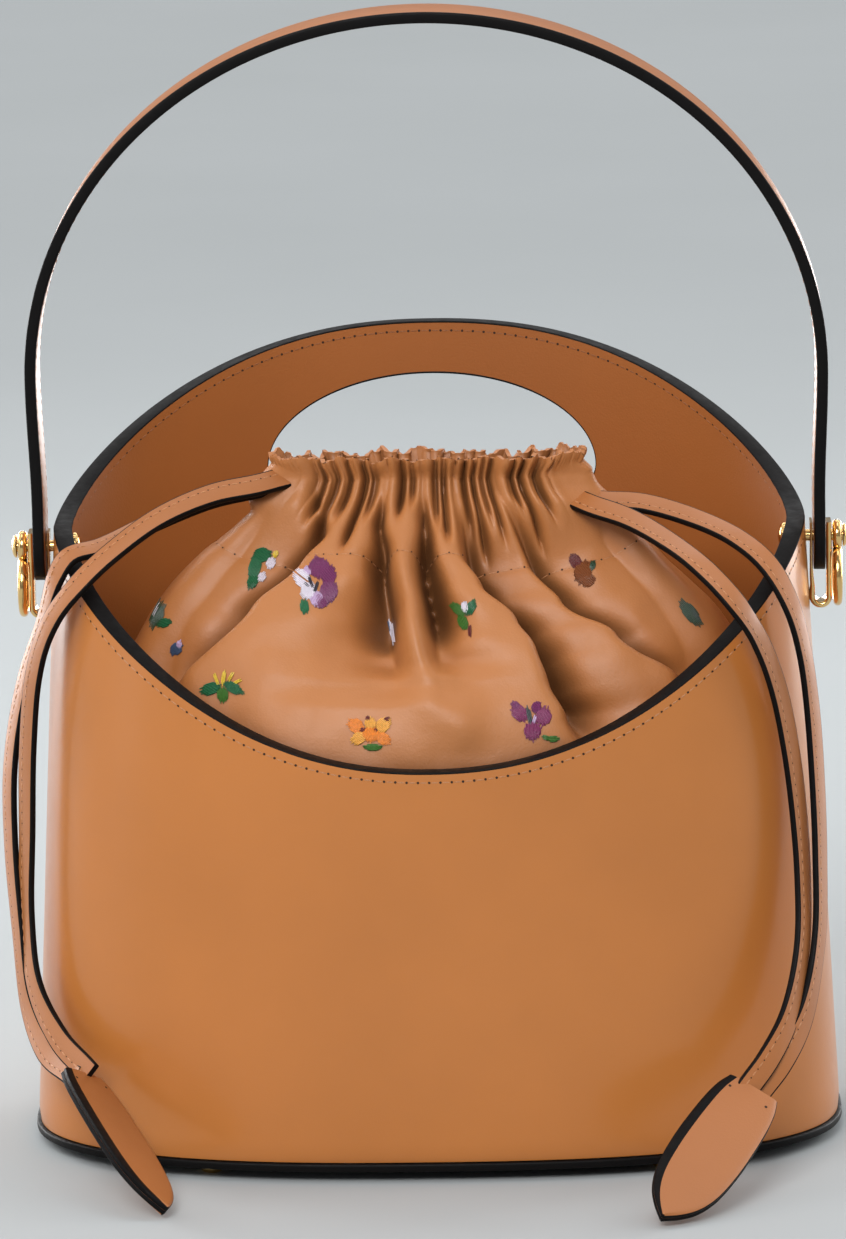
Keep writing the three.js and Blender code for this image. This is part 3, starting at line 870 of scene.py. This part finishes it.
def build_walls():
    front_skin("front_panel", "front_outer_panel", 0, SKIN, LEATHER, "leather")
    front_skin("front_inside", "front_lining", WALL - SKIN, SKIN, LINING, "wall_lining")
    back_skin("back_panel", "back_outer_panel", 0, SKIN, LEATHER, "leather")
    back_skin("back_inside", "back_lining", WALL - SKIN, SKIN, LINING, "wall_lining")
    turns = [-math.pi + 2 * math.pi * i / 720 for i in range(720)]
    paint_bead("rim_edge_paint", [(a, rim_height(a)) for a in turns])
    paint_bead("grip_hole_edge_paint", [grip_outline(a) for a in turns[::2]], inward=True)
    rim_stitches("front_rim_stitches", math.radians(-172), math.radians(-8), 0, 1)
    rim_stitches("back_rim_stitches", math.radians(8), math.radians(172), 0, 1)
    rim_stitches("back_inside_stitches", math.radians(8), math.radians(172), WALL, -1)


def build_sole():
    section, _ = rounded_section(SOLE_THICKNESS / 2, 1, 0.55, 3)
    rings = []
    steps = 360
    middle = FOOT_HEIGHT + SOLE_THICKNESS / 2
    for i in range(steps):
        angle = 2 * math.pi * i / steps
        ring = []
        for rise, out in section:
            edge = wall_point(angle, SOLE_TOP, -SOLE_PROUD + 1 - out)
            ring.append(Vector((edge.x, edge.y, middle + rise)))
        rings.append(ring)
    points, faces, slots = loft_data(rings, closed=True)
    inner = [k for k, (_, out) in enumerate(section) if out <= 0]
    count = len(section)
    low = min(inner, key=lambda k: section[k][0])
    high = max(inner, key=lambda k: section[k][0])
    faces.append(tuple(i * count + low for i in reversed(range(steps))))
    faces.append(tuple(i * count + high for i in range(steps)))
    slots += [0, 0]
    sole = mesh_object("sole_leather", points, faces, [EDGE], slots)
    settle(sole, "body", "edge_paint", "base_sole")


def build_feet():
    names = ["front_left", "front_right", "back_right", "back_left"]
    places = [(-FOOT_X, -FOOT_Y), (FOOT_X, -FOOT_Y), (FOOT_X, FOOT_Y), (-FOOT_X, FOOT_Y)]
    dome = FOOT_HEIGHT - 0.25
    profile = [(0, 0), (2, 0)]
    for step in range(1, 9):
        turn = math.radians(90 * step / 8)
        profile.append((2 + (FOOT_RADIUS - 2) * math.sin(turn), dome * 0.62 * (1 - math.cos(turn))))
    profile += [(FOOT_RADIUS, dome), (1.5, dome), (1.5, 9.5), (0, 9.5)]
    for name, (x, y) in zip(names, places):
        foot = loft("metal_foot_" + name, lathe(profile, 40, (x, y, 0)), [GOLD])
        settle(foot, "body", "gold", "foot_" + name)


# ---- Side fittings ---------------------------------------------------------------------------


def mirrored_rings(rings, side):
    return [[Vector((p.x * side, p.y, p.z)) for p in ring] for ring in rings]


def build_pin(side, label):
    shaft = wall_point(0, PIN_HEIGHT, WALL).x
    profile = [(0, shaft), (PIN_RADIUS, shaft), (PIN_RADIUS, HEAD_FACE)]
    profile.append((HEAD_RADIUS - 0.4, HEAD_FACE))
    for step in range(9):
        turn = math.radians(90 * step / 8)
        reach = HEAD_RADIUS * math.cos(turn * 0.98)
        profile.append((reach, HEAD_FACE + 0.25 + 1.5 * math.sin(turn)))
    rings = mirrored_rings(lathe(profile, 48, (0, 0, PIN_HEIGHT), "x"), side)
    settle(loft(label + "_pin_gold", rings, [GOLD]), "body", "gold", label + "_pin")


def build_inner_cap(side, label):
    face = wall_point(0, PIN_HEIGHT, WALL).x - 0.6
    profile = [(0, face), (CAP_RADIUS, face), (CAP_RADIUS, face - 0.5)]
    for step in range(1, 9):
        turn = math.radians(90 * step / 8)
        profile.append((CAP_RADIUS * math.cos(turn), face - 0.5 - 1.9 * math.sin(turn)))
    rings = mirrored_rings(lathe(profile, 48, (0, 0, PIN_HEIGHT), "x"), side)
    settle(loft(label + "_cap_gold", rings, [GOLD]), "body", "gold", label + "_inner_cap")


def build_ring(side, label):
    """An oval loop hanging from a barrel-shaped eye."""
    wire = []
    for i in range(120):
        around = 2 * math.pi * i / 120
        ring = []
        for k in range(20):
            about = 2 * math.pi * k / 20
            out = RING_WIRE * math.cos(about)
            ring.append(Vector((
                RING_CENTRE + RING_WIRE * math.sin(about),
                (RING_HALF_WIDTH + out) * math.cos(around),
                PIN_HEIGHT - RING_DROP + (RING_HALF_HEIGHT + out) * math.sin(around),
            )))
        wire.append(ring)
    profile = [(RING_BORE, RING_CENTRE - RING_WIRE)]
    for step in range(17):
        turn = math.radians(-90 + 11.25 * step)
        bulge = 1.5 * math.cos(turn) ** 0.8 if step not in (0, 16) else 0
        profile.append((RING_EYE - 1.1 + bulge, RING_CENTRE + RING_WIRE * math.sin(turn)))
    profile.append((RING_BORE, RING_CENTRE + RING_WIRE))
    eye = lathe(profile, 48, (0, 0, PIN_HEIGHT), "x")
    parts = [
        loft_data(mirrored_rings(wire, side), closed=True),
        loft_data(mirrored_rings(eye, side)),
    ]
    piece = merged(label + "_ring_gold", parts, [GOLD])
    settle(piece, label + "_ring", "gold", label + "_ring")


def build_bracket(side, label):
    """A U of metal strip round the strap's end, thick outside and thin against the wall."""
    path = [(123.0, 190.2), (123.0, 186), (123.0, 180), (123.0, 174)]
    thick = [1.5, 1.7, 1.75, 1.75]
    for step in range(13):
        turn = math.radians(-15 * step)
        path.append((120.35 + 2.65 * math.cos(turn), 167 + 2.75 * math.sin(turn)))
        thick.append(1.75)
    path += [(117.85, 170), (117.65, 173), (117.55, 176), (117.55, 190.2)]
    thick += [1.4, 1.1, 0.85, 0.8]
    spine = [Vector((x, 0, z)) for x, z in path]
    ways = tangents(spine)
    rings = []
    for p, way, wide in zip(spine, ways, thick):
        out = way.cross(FRONT_BACK)
        section, _ = rounded_section(BRACKET_HALF_WIDTH, wide / 2, wide * 0.42, 4)
        rings.append([p + FRONT_BACK * a + out * b for a, b in section])
    piece = loft(label + "_bracket_gold", mirrored_rings(rings, side), [GOLD])
    settle(piece, "strap", "gold", label + "_strap_bracket")


def build_fittings():
    for side, label in ((1, "right"), (-1, "left")):
        build_pin(side, label)
        build_inner_cap(side, label)
        build_ring(side, label)
        build_bracket(side, label)


# ---- Strap -----------------------------------------------------------------------------------


def strap_line():
    """The strap's outer face from its right end over the arch to its left end."""
    low = PIN_HEIGHT - STRAP_END_DROP + 0.3
    half = []
    for step in range(41):
        z = low + (ARCH_SPRING - low) * (step / 40) ** 1.4
        bulge = smooth((z - PIN_HEIGHT - 13) / (ARCH_SPRING - PIN_HEIGHT - 13))
        half.append(Vector((STRAP_PIN_SPAN + (STRAP_HALF_SPAN - STRAP_PIN_SPAN) * bulge, 0, z)))
    for step in range(1, 91):
        turn = math.radians(step)
        x = STRAP_HALF_SPAN * math.cos(turn)
        half.append(Vector((x, 0, ARCH_SPRING + ARCH_RISE * math.sin(turn))))
    left = [Vector((-p.x, 0, p.z)) for p in reversed(half[:-1])]
    return half + left


def strap_half_width(z):
    run = z - (PIN_HEIGHT - STRAP_END_DROP)
    half = STRAP_HALF_WIDTH
    return half if run >= half else math.sqrt(half**2 - (half - max(run, 0.35)) ** 2)


def build_strap():
    line = strap_line()
    ways = tangents(line)
    rings = []
    inward = [Vector((-way.z, 0, way.x)) for way in ways]
    for p, into in zip(line, inward):
        half = strap_half_width(p.z) if p.z < PIN_HEIGHT + 2 else STRAP_HALF_WIDTH
        middle = p + into * (STRAP_THICKNESS / 2)
        section, edges = rounded_section(half, STRAP_THICKNESS / 2, min(0.7, half * 0.3), 4)
        rings.append([middle + FRONT_BACK * a + into * b for a, b in section])
    strap = loft("strap_leather_band", rings, [STRAP_LEATHER, EDGE], edges, cap_zone=1, crease=50)
    settle(strap, "strap", "strap_leather", "strap_outer", "strap_lining")
    parts = []
    for y in (STRAP_HALF_WIDTH - 2.4, 2.4 - STRAP_HALF_WIDTH):
        row = [
            (p + into * STRAP_THICKNESS + FRONT_BACK * y, into)
            for p, into in zip(line, inward)
            if p.z > PIN_HEIGHT + 6
        ]
        parts += stitch_parts(row, STITCH_PITCH, 2.3, 0.28)
    stitches = merged("strap_stitches", parts, [TAN_THREAD, HOLE_SHADE])
    settle(stitches, "strap", "strap_leather")


# ---- Inner pouch -----------------------------------------------------------------------------

POUCH_BOTTOM = 13.3
NECK = 206.5
FRILL_TOP = 213.2
SEAM_HEIGHT = 186
POUCH_SHEET = 1.4
GATHERS = 24                     # small gathers across each half of the neck

# The pouch's outer shape as (height, half width, half depth)
POUCH_PROFILE = [
    (POUCH_BOTTOM, 109, 60), (60, 109.5, 63), (110, 106.5, 63.5), (130, 103, 62), (148, 96.5, 55),
    (165, 86, 44), (180, 72, 30.5), (193, 58, 18), (202, 48.5, 11), (NECK, 46, 9.5),
]

# The valleys between the big folds of the front. Each one's course gives its place across, as a
# share of the half width, at falling heights; then how deep it is on the way, how wide it opens
# to its left and to its right, and how much lower the cloth lies on its outer side.
VALLEYS = [
    {
        "course": [(132, -0.86), (150, -0.84), (172, -0.72), (185, -0.62), (192, -0.57),
                   (205, -0.75)],
        "depth": [(128, 3), (150, 6), (172, 9), (190, 8), (200, 3)],
        "left": [(130, 12), (172, 6), (192, 3)],
        "right": [(130, 5), (172, 2.2), (192, 1.8)],
        "step": -10,
    },
    {
        "course": [(140, -0.10), (155, -0.115), (171, -0.155), (187, -0.215), (196, -0.27),
                   (205, -0.30)],
        "depth": [(144, 0), (152, 4), (161, 12), (171, 20), (184, 15), (194, 7), (203, 2)],
        "left": [(145, 30), (160, 20), (171, 11), (182, 4.6), (195, 2.2)],
        "right": [(148, 11), (160, 4.6), (171, 3.4), (195, 1.7)],
        "step": 0,
    },
    {
        "course": [(142, 0.055), (155, 0.04), (171, 0.03), (187, -0.015), (205, -0.03)],
        "depth": [(142, 0), (152, 3), (161, 9), (173, 18), (186, 13), (195, 7), (203, 2)],
        "left": [(150, 6), (165, 3.6), (180, 3), (195, 1.7)],
        "right": [(150, 18), (165, 8), (178, 4), (190, 2.2)],
        "step": 0,
    },
    {
        "course": [(125, 0.50), (141, 0.45), (152, 0.415), (162, 0.40), (170, 0.36), (179, 0.25),
                   (187, 0.19), (205, 0.18)],
        "depth": [(122, 9), (141, 13), (162, 12), (187, 9), (201, 3)],
        "left": [(130, 2.6), (162, 2.2), (187, 1.8)],
        "right": [(130, 13), (162, 6), (187, 2.6)],
        "step": 17,
    },
    {
        "course": [(140, 0.90), (150, 0.86), (166, 0.73), (177, 0.60), (187, 0.53), (205, 0.45)],
        "depth": [(132, 1), (150, 5), (177, 8), (190, 7), (201, 3)],
        "left": [(140, 4), (166, 2.4), (190, 1.8)],
        "right": [(140, 8), (166, 5), (190, 2.8)],
        "step": 9,
    },
]

# The fold that stands out between the second valley and the third
RIDGE = {
    "course": [(135, 0.10), (150, 0.02), (165, -0.06), (180, -0.10), (195, -0.14)],
    "height": [(130, 0), (141, 2.2), (158, 4), (180, 3.2), (196, 0.5)],
    "width": [(140, 10), (160, 6.5), (180, 5)],
}

# Short creases that only the top of the pouch has: (place across, height of the lower end)
NECK_CREASES = [
    (-0.70, 193), (-0.61, 188), (-0.52, 193), (-0.42, 185), (-0.36, 193), (-0.17, 193),
    (-0.10, 196), (0.05, 191), (0.10, 187), (0.24, 191), (0.30, 186), (0.36, 192), (0.41, 189),
    (0.56, 194), (0.62, 188), (0.72, 193),
]


def pouch_size(z):
    """The pouch's half width and half depth at height z, on a smooth curve."""
    knots = [Vector(p) for p in POUCH_PROFILE]
    return along_curve(knots, z)


def along_curve(knots, z):
    for i in range(len(knots) - 1):
        if z <= knots[i + 1].x or i == len(knots) - 2:
            break
    a = knots[i]
    b = knots[i + 1]
    before = knots[max(i - 1, 0)]
    after = knots[min(i + 2, len(knots) - 1)]
    step = b.x - a.x
    slope_a = (b - before) / max(b.x - before.x, 1e-6) * step
    slope_b = (after - a) / max(after.x - a.x, 1e-6) * step
    t = (z - a.x) / step
    h = (
        a * (2 * t**3 - 3 * t**2 + 1)
        + slope_a * (t**3 - 2 * t**2 + t)
        + b * (-2 * t**3 + 3 * t**2)
        + slope_b * (t**3 - t**2)
    )
    return h.y, h.z


def fold_depth(share, z, half_width, back):
    """How far the cloth lies below the smooth pouch at a place across and height."""
    if back:
        share = 0.93 * share + 0.05
        z = z + 3
    low = 0
    for valley in VALLEYS:
        course = along(valley["course"], z)
        away = (share - course) * half_width
        depth = along(valley["depth"], z)
        wide = along(valley["left" if away < 0 else "right"], z)
        low += depth * math.exp(-(abs(away / wide) ** 1.6))
        step = valley["step"]
        if step and away * step > 0:
            fade = smooth(between(z, 116, 146)) * (1 - smooth(between(z, 186, 200)))
            low += abs(step) * fade * math.exp(-abs(away) / 30) * (1 - math.exp(-abs(away) / 1.3))
    away = (share - along(RIDGE["course"], z)) * half_width
    low -= along(RIDGE["height"], z) * math.exp(-((away / along(RIDGE["width"], z)) ** 2))
    for course, lower in NECK_CREASES:
        away = (share - course) * half_width
        low += 5 * smooth(between(z, lower, lower + 8)) * math.exp(-(abs(away / 1.35) ** 1.4))
    return low


def gather(share, z):
    """The small tight gathers at the neck and in the frill above it."""
    size = 1.5 * smooth(between(z, 191, 203)) + 0.8 * smooth(between(z, NECK, FRILL_TOP))
    size *= 1 - smooth(between(abs(share), 0.74, 0.9))
    drift = noise.noise(Vector((share * 3.1, z * 0.03, 4.7))) * 0.9
    phase = math.pi * (GATHERS * (share + 1) / 2 + drift)
    beat = 0.65 + 0.5 * noise.noise(Vector((share * 9, 1.3, z * 0.05)))
    return size * beat * (abs(math.sin(phase)) ** 0.7 - 0.55)


def pouch_point(angle, z):
    """A point of the pouch's outer face."""
    half_width, half_depth = pouch_size(min(z, NECK))
    flare = smooth(between(z, NECK, FRILL_TOP))
    half_width += 3 * flare
    half_depth += 2.6 * flare
    x, y = superellipse(angle, half_width, half_depth, 2.3)
    share = x / half_width
    drop = 5.5 if x > 0 else 0
    collar = smooth(between(z, 195 - drop, 200 - drop)) * (1 - smooth(between(z, 207, 211)))
    x += math.copysign(4.6 * collar * smooth(between(abs(share), 0.86, 1)), x)
    normal = Vector((math.cos(angle) / half_width, math.sin(angle) / half_depth, 0)).normalized()
    rise = smooth(between(z, 120, 175)) * (1 - 0.6 * smooth(between(z, 190, 205)))
    normal = (normal + UP * rise * 0.8).normalized()
    lift = gather(share, z)
    edge = 1 - smooth(between(abs(share), 0.92, 1))
    lift -= fold_depth(share, z, half_width, math.sin(angle) > 0) * edge
    loose = smooth(between(z, 110, 140))
    lift += 1.8 * noise.noise(Vector((x * 0.035, y * 0.035, z * 0.03))) * loose
    lift += 0.5 * noise.noise(Vector((x * 0.11, y * 0.11, z * 0.07))) * loose
    seam = abs(z - SEAM_HEIGHT)
    lift -= 0.3 * math.exp(-((seam / 0.7) ** 2))
    waver = 2.0 * noise.noise(Vector((angle * 8, 2.2, 0))) * flare
    waver += 0.9 * noise.noise(Vector((angle * 31, 5.2, 0))) * flare
    return Vector((x, y, z + waver)) + normal * lift


def pouch_heights():
    heights = [POUCH_BOTTOM + (112 - POUCH_BOTTOM) * j / 8 for j in range(8)]
    heights += [112 + (NECK - 112) * j / 120 for j in range(120)]
    heights += [NECK + (FRILL_TOP - NECK) * j / 10 for j in range(11)]
    return heights


def grid_normals(grid):
    """The outward normal at each point of a grid of columns that closes on itself."""
    normals = []
    columns = len(grid)
    last = len(grid[0]) - 1
    for i in range(columns):
        after = grid[(i + 1) % columns]
        before = grid[i - 1]
        normals.append([
            (after[j] - before[j])
            .cross(grid[i][min(j + 1, last)] - grid[i][max(j - 1, 0)])
            .normalized()
            for j in range(last + 1)
        ])
    return normals


def build_pouch():
    heights = pouch_heights()
    columns = 700
    grid = []
    for i in range(columns):
        turn = i / columns
        angle = 2 * math.pi * turn + 0.12 * math.sin(4 * math.pi * turn)
        grid.append([pouch_point(angle, z) for z in heights])
    normals = grid_normals(grid)
    rings = []
    for column, outs in zip(grid, normals):
        inner = [p - out * POUCH_SHEET for p, out in zip(column, outs)]
        rings.append(column + list(reversed(inner)))
    points, faces, slots = loft_data(rings, closed=True)
    pouch = mesh_object("pouch_leather_bag", points, faces, [POUCH_LEATHER], slots, crease=75)
    settle(pouch, "body", "pouch_leather", "pouch_front", "pouch_back", "pouch_casing")
    seam_row = min(range(len(heights)), key=lambda j: abs(heights[j] - SEAM_HEIGHT))
    seam = [(grid[i][seam_row], normals[i][seam_row]) for i in range(columns)]
    parts = stitch_parts(seam, 4.2, 2.9, 0.24, 0.1, hole=0.3)
    settle(merged("casing_seam_stitches", parts, [TAN_THREAD, HOLE_SHADE]), "body", "pouch_leather")
    build_embroidery(BVHTree.FromPolygons([tuple(p) for p in points], faces))


# ---- Embroidery ------------------------------------------------------------------------------

THREAD_COLOURS = {
    "emerald": (0.010, 0.125, 0.045), "leaf": (0.045, 0.15, 0.018), "pine": (0.022, 0.06, 0.028),
    "white": (0.72, 0.66, 0.74), "lilac": (0.52, 0.36, 0.56), "purple": (0.17, 0.022, 0.105),
    "magenta": (0.21, 0.022, 0.10), "orange": (0.80, 0.235, 0.022), "amber": (0.80, 0.38, 0.065),
    "yellow": (0.72, 0.50, 0.045), "wine": (0.13, 0.014, 0.012), "blue": (0.05, 0.085, 0.16),
    "rust": (0.22, 0.062, 0.014), "slate": (0.055, 0.065, 0.065), "ink": (0.02, 0.014, 0.028),
}

# Each motif as its patches of satin stitch: across and up from its middle, the turn of its
# threads in degrees, its length and width, and its colour
MOTIFS = {
    "sprig": [
        (-0.5, 3.4, 20, 7, 4, "emerald"), (-2.6, 0, 70, 7.5, 3.6, "emerald"),
        (-3.2, -3.8, 60, 5, 3, "emerald"), (2.4, 1.2, 60, 3.8, 2.6, "white"),
        (-0.4, -2.6, 50, 3.2, 2.2, "white"), (3.8, 3.8, 60, 2.4, 1.5, "yellow"),
    ],
    "pansy": [
        (1.6, 4.4, 100, 5.4, 6.4, "purple"), (4.4, 2.6, 60, 5, 5, "purple"),
        (4.6, -2.0, 75, 7.6, 5.4, "purple"), (2.2, -4.6, 30, 4, 4, "purple"),
        (-3.6, 1.4, 150, 6, 4.4, "white"), (-1.6, -1.8, 40, 5.6, 4, "white"),
        (0.9, -3.8, 110, 4.6, 3.8, "lilac"), (-1.9, 3.4, 80, 2.6, 2.4, "lilac"),
        (-0.8, 0.3, 112, 4.6, 0.9, "ink"), (0.7, -0.9, 68, 4, 0.9, "ink"),
        (-2.0, -0.3, 145, 3.2, 0.8, "ink"), (-2.8, -6, 100, 4, 2.6, "emerald"),
    ],
    "fern": [
        (-3.6, -1.5, 20, 7, 3.2, "emerald"), (3.4, -0.8, 158, 6.6, 3, "emerald"),
        (0.2, -3, 90, 4.6, 3.4, "leaf"), (0.5, 1.8, 80, 4.8, 1.1, "yellow"),
        (2.7, 2.3, 60, 4.2, 1, "yellow"), (-1.8, 1.3, 112, 3.8, 1, "yellow"),
        (4.6, 0.9, 30, 3.4, 0.9, "yellow"),
    ],
    "leaf": [
        (0, 0, 60, 8.6, 3.6, "pine"), (2.2, -1.7, 20, 5, 2.4, "emerald"),
        (-0.6, 0.9, 60, 4.8, 1.1, "white"),
    ],
    "bud": [(0, 0, 45, 4.8, 3.2, "blue"), (1, 1.3, 80, 3, 1.6, "lilac")],
    "marigold": [
        (-4.1, 1.4, 150, 5.6, 4, "orange"), (-3.4, -2.1, 30, 5.2, 3.4, "amber"),
        (0.4, -1, 90, 5.2, 5, "orange"), (0.2, 2.2, 80, 3.6, 3.4, "amber"),
        (4, 1.7, 40, 5.6, 3.8, "amber"), (4.1, -2.2, 150, 5.2, 3.4, "orange"),
        (-2.3, 0.3, 20, 2.2, 1.1, "wine"), (-0.5, 3.4, 90, 1.9, 1.3, "wine"),
        (5.2, 3.3, 20, 2.6, 1.2, "wine"), (1.9, 0.2, 60, 1.5, 1.1, "wine"),
        (0.9, -4.7, 0, 6.2, 1.9, "leaf"),
    ],
    "violet": [
        (-3.6, 2.4, 140, 6.4, 4, "magenta"), (3.6, 1.2, 70, 6.2, 4.6, "magenta"),
        (0.2, -2.8, 90, 5.6, 5, "magenta"), (1.4, 4, 60, 3.6, 2.6, "purple"),
        (-4.6, 4.5, 140, 3.6, 2, "purple"), (-0.7, 1.6, 102, 5.4, 1.4, "slate"),
        (0.9, 0.6, 70, 3.6, 1, "lilac"), (4.4, -4.9, 160, 3, 1.3, "leaf"),
        (6.5, -5.3, 0, 3.8, 1.8, "leaf"),
    ],
    "shoot": [
        (-2, 1.4, 150, 5.2, 3, "leaf"), (1.9, 2.2, 60, 5.6, 2.6, "emerald"),
        (-0.5, -2, 110, 5, 3, "leaf"), (0.2, 2.3, 90, 3.6, 2.1, "white"),
        (1.6, -4.2, 90, 3.8, 1, "wine"),
    ],
    "poppy": [
        (0.2, 0, 60, 7, 5, "rust"), (-2.1, 3, 120, 5, 3.4, "wine"), (1.9, -2.5, 30, 5, 3, "rust"),
        (3.2, 1.8, 70, 3, 1.6, "pine"),
    ],
    "reed": [(0, 0, 130, 10, 3.6, "pine"), (1.3, -0.6, 130, 6.4, 1.3, "slate")],
    "petal": [(0, 0, 104, 5.6, 1.8, "white"), (-0.7, 0.6, 104, 4, 1, "blue")],
}

# Where the motifs lie: the place across, the height, and -1 for the front or 1 for the back
MOTIF_PLACES = [
    ("sprig", -51, 180, -1), ("pansy", -35, 178, -1), ("fern", -63, 150, -1),
    ("leaf", -84, 165, -1), ("bud", -78, 156, -1), ("marigold", -18, 138, -1),
    ("violet", 31, 140, -1), ("shoot", 11, 169, -1), ("poppy", 47, 177, -1),
    ("reed", 80, 164, -1), ("petal", -11.5, 162, -1), ("marigold", -70, 118, -1),
    ("pansy", 62, 122, -1), ("fern", 4, 108, -1), ("pansy", 20, 176, 1),
    ("marigold", -42, 158, 1), ("violet", -8, 140, 1), ("fern", 56, 148, 1), ("shoot", -70, 138, 1),
    ("sprig", 32, 118, 1),
]


def on_cloth(tree, x, z, side):
    """The point and normal of the pouch's outer face, seen level from the front or the back."""
    start = Vector((x, side * 150, z))
    spot, normal, _, _ = tree.ray_cast(start, Vector((0, -side, 0)))
    return spot, normal


def satin_patch(tree, middle, side, patch, index):
    """Side-by-side threads that fill an oval."""
    u, v, turn, long, wide, _ = patch
    run = (math.cos(math.radians(turn)), math.sin(math.radians(turn)))
    count = max(2, round(wide / 0.42))
    parts = []
    for n in range(count):
        off = ((n + 0.5) / count - 0.5) * wide
        reach = long / 2 * math.sqrt(max(0.08, 1 - (2 * off / wide) ** 2))
        reach *= 1 + 0.4 * noise.noise(Vector((n * 1.7, u * 3.1, v * 2.3)))
        line = []
        for step in range(5):
            t = step / 2 - 1
            across = u + run[0] * reach * t - run[1] * off
            up = v + run[1] * reach * t + run[0] * off
            spot, normal = on_cloth(tree, middle[0] - side * across, middle[1] + up, side)
            if spot is None:
                break
            line.append(spot + normal * (0.12 + 0.16 * (1 - t * t)))
        if len(line) == 5 and (line[-1] - line[0]).length < 2.2 * long:
            parts.append(strand(line, index))
    return parts


def strand(line, index):
    rings = []
    for i, way in enumerate(tangents(line)):
        side = way.cross(Vector((0.31, 0.17, 0.93))).normalized()
        up = way.cross(side)
        radius = 0.14 if i in (0, len(line) - 1) else 0.27
        rings.append(circle(line[i], side * radius, up * radius, 5))
    points, faces, _ = loft_data(rings)
    return points, faces, [index] * len(faces)


def build_embroidery(tree):
    names = list(THREAD_COLOURS)
    threads = [thread(name + "_thread", THREAD_COLOURS[name], 0.42) for name in names]
    parts = []
    for motif, x, z, side in MOTIF_PLACES:
        for patch in MOTIFS[motif]:
            parts += satin_patch(tree, (x, z), side, patch, names.index(patch[5]))
    settle(merged("embroidered_flowers", parts, threads), "body", "pouch_leather")


# ---- Floor and light -------------------------------------------------------------------------


def build_stage():
    """A wide plain floor, which also fills the view behind the bag."""
    paper = (0.405, 0.426, 0.431)
    material, tree, shader = new_material("studio_paper", paper, 0.9, Specular_IOR_Level=0)
    tone = remap(tree, noise_texture(tree, object_coordinates(tree), 3, 3), 0, 1)
    shade = blended_colour(tree, tone, (0.4, 0.421, 0.426), (0.414, 0.435, 0.441))
    tree.links.new(shade, shader.inputs["Base Color"])
    reach = 20000
    points = [(-reach, -reach, 0), (reach, -reach, 0), (reach, reach, 0), (-reach, reach, 0)]
    mesh_object("studio_floor", points, [(0, 1, 2, 3)], [material])


def area_light(name, place, target, size, power):
    data = bpy.data.lights.new(name, "AREA")
    data.shape = "RECTANGLE"
    data.size, data.size_y = size
    data.energy = power
    light = bpy.data.objects.new(name, data)
    light.location = place
    look = Vector(target) - Vector(place)
    light.rotation_euler = look.to_track_quat("-Z", "Y").to_euler()
    light.visible_camera = False
    scene.collection.objects.link(light)
    return light


def build_lights():
    world = bpy.data.worlds.new("studio")
    world.use_nodes = True
    sky = world.node_tree.nodes["Background"].inputs
    sky["Color"].default_value = (0.92, 0.95, 1.0, 1)
    sky["Strength"].default_value = 0.27
    scene.world = world
    area_light("front_softbox", (-0.5, -2.1, 1.7), (0, 0, 0.12), (1.1, 1.0), 45)
    area_light("left_strip", (-1.6, -0.55, 0.6), (0, 0, 0.12), (0.35, 1.5), 5)
    area_light("right_strip", (1.6, 0.1, 0.6), (0, 0, 0.14), (0.35, 1.5), 5)
    area_light("top_softbox", (0, 0.2, 2.1), (0, 0, 0.1), (1.4, 1.0), 10)
    area_light("left_rim", (-1.0, 0.75, 0.35), (0.1, 0, 0.22), (0.4, 0.9), 12)
    area_light("right_rim", (1.0, 0.75, 0.35), (-0.1, 0, 0.22), (0.4, 0.9), 9)
    surround = area_light("white_surround", (0, 1.4, 0.09), (0, 0, 0.09), (2.8, 0.17), 15)
    surround.visible_diffuse = False
    area_light("backdrop_wash", (0, 3.2, 2.6), (0, 3.3, 0), (6.0, 3.0), 96)
    area_light("front_wash", (0, -4.2, 3.0), (0, -4.1, 0), (6.0, 3.0), 52)
    for side in (-1, 1):
        area_light("side_wash", (4.4 * side, 0, 3.0), (4.3 * side, 0, 0), (3.0, 6.0), 46)


# ---- Assembly --------------------------------------------------------------------------------


def finish_hidden_nodes():
    """Inner pieces keep their CAD shape and get a proper material."""
    for name in ("front_stiffener", "back_stiffener", "base_board"):
        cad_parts[name].data.materials[0] = BOARD
    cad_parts["base_lining"].data.materials[0] = LINING
    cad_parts["pouch_floor"].data.materials[0] = POUCH_LEATHER
    for name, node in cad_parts.items():
        if name.startswith("foot_washer"):
            node.data.materials[0] = GOLD


def main():
    build_camera()
    build_drawstrings()
    build_walls()
    build_sole()
    build_feet()
    build_fittings()
    build_strap()
    build_pouch()
    finish_hidden_nodes()
    build_stage()
    build_lights()
    scene.view_settings.view_transform = "Standard"


main()
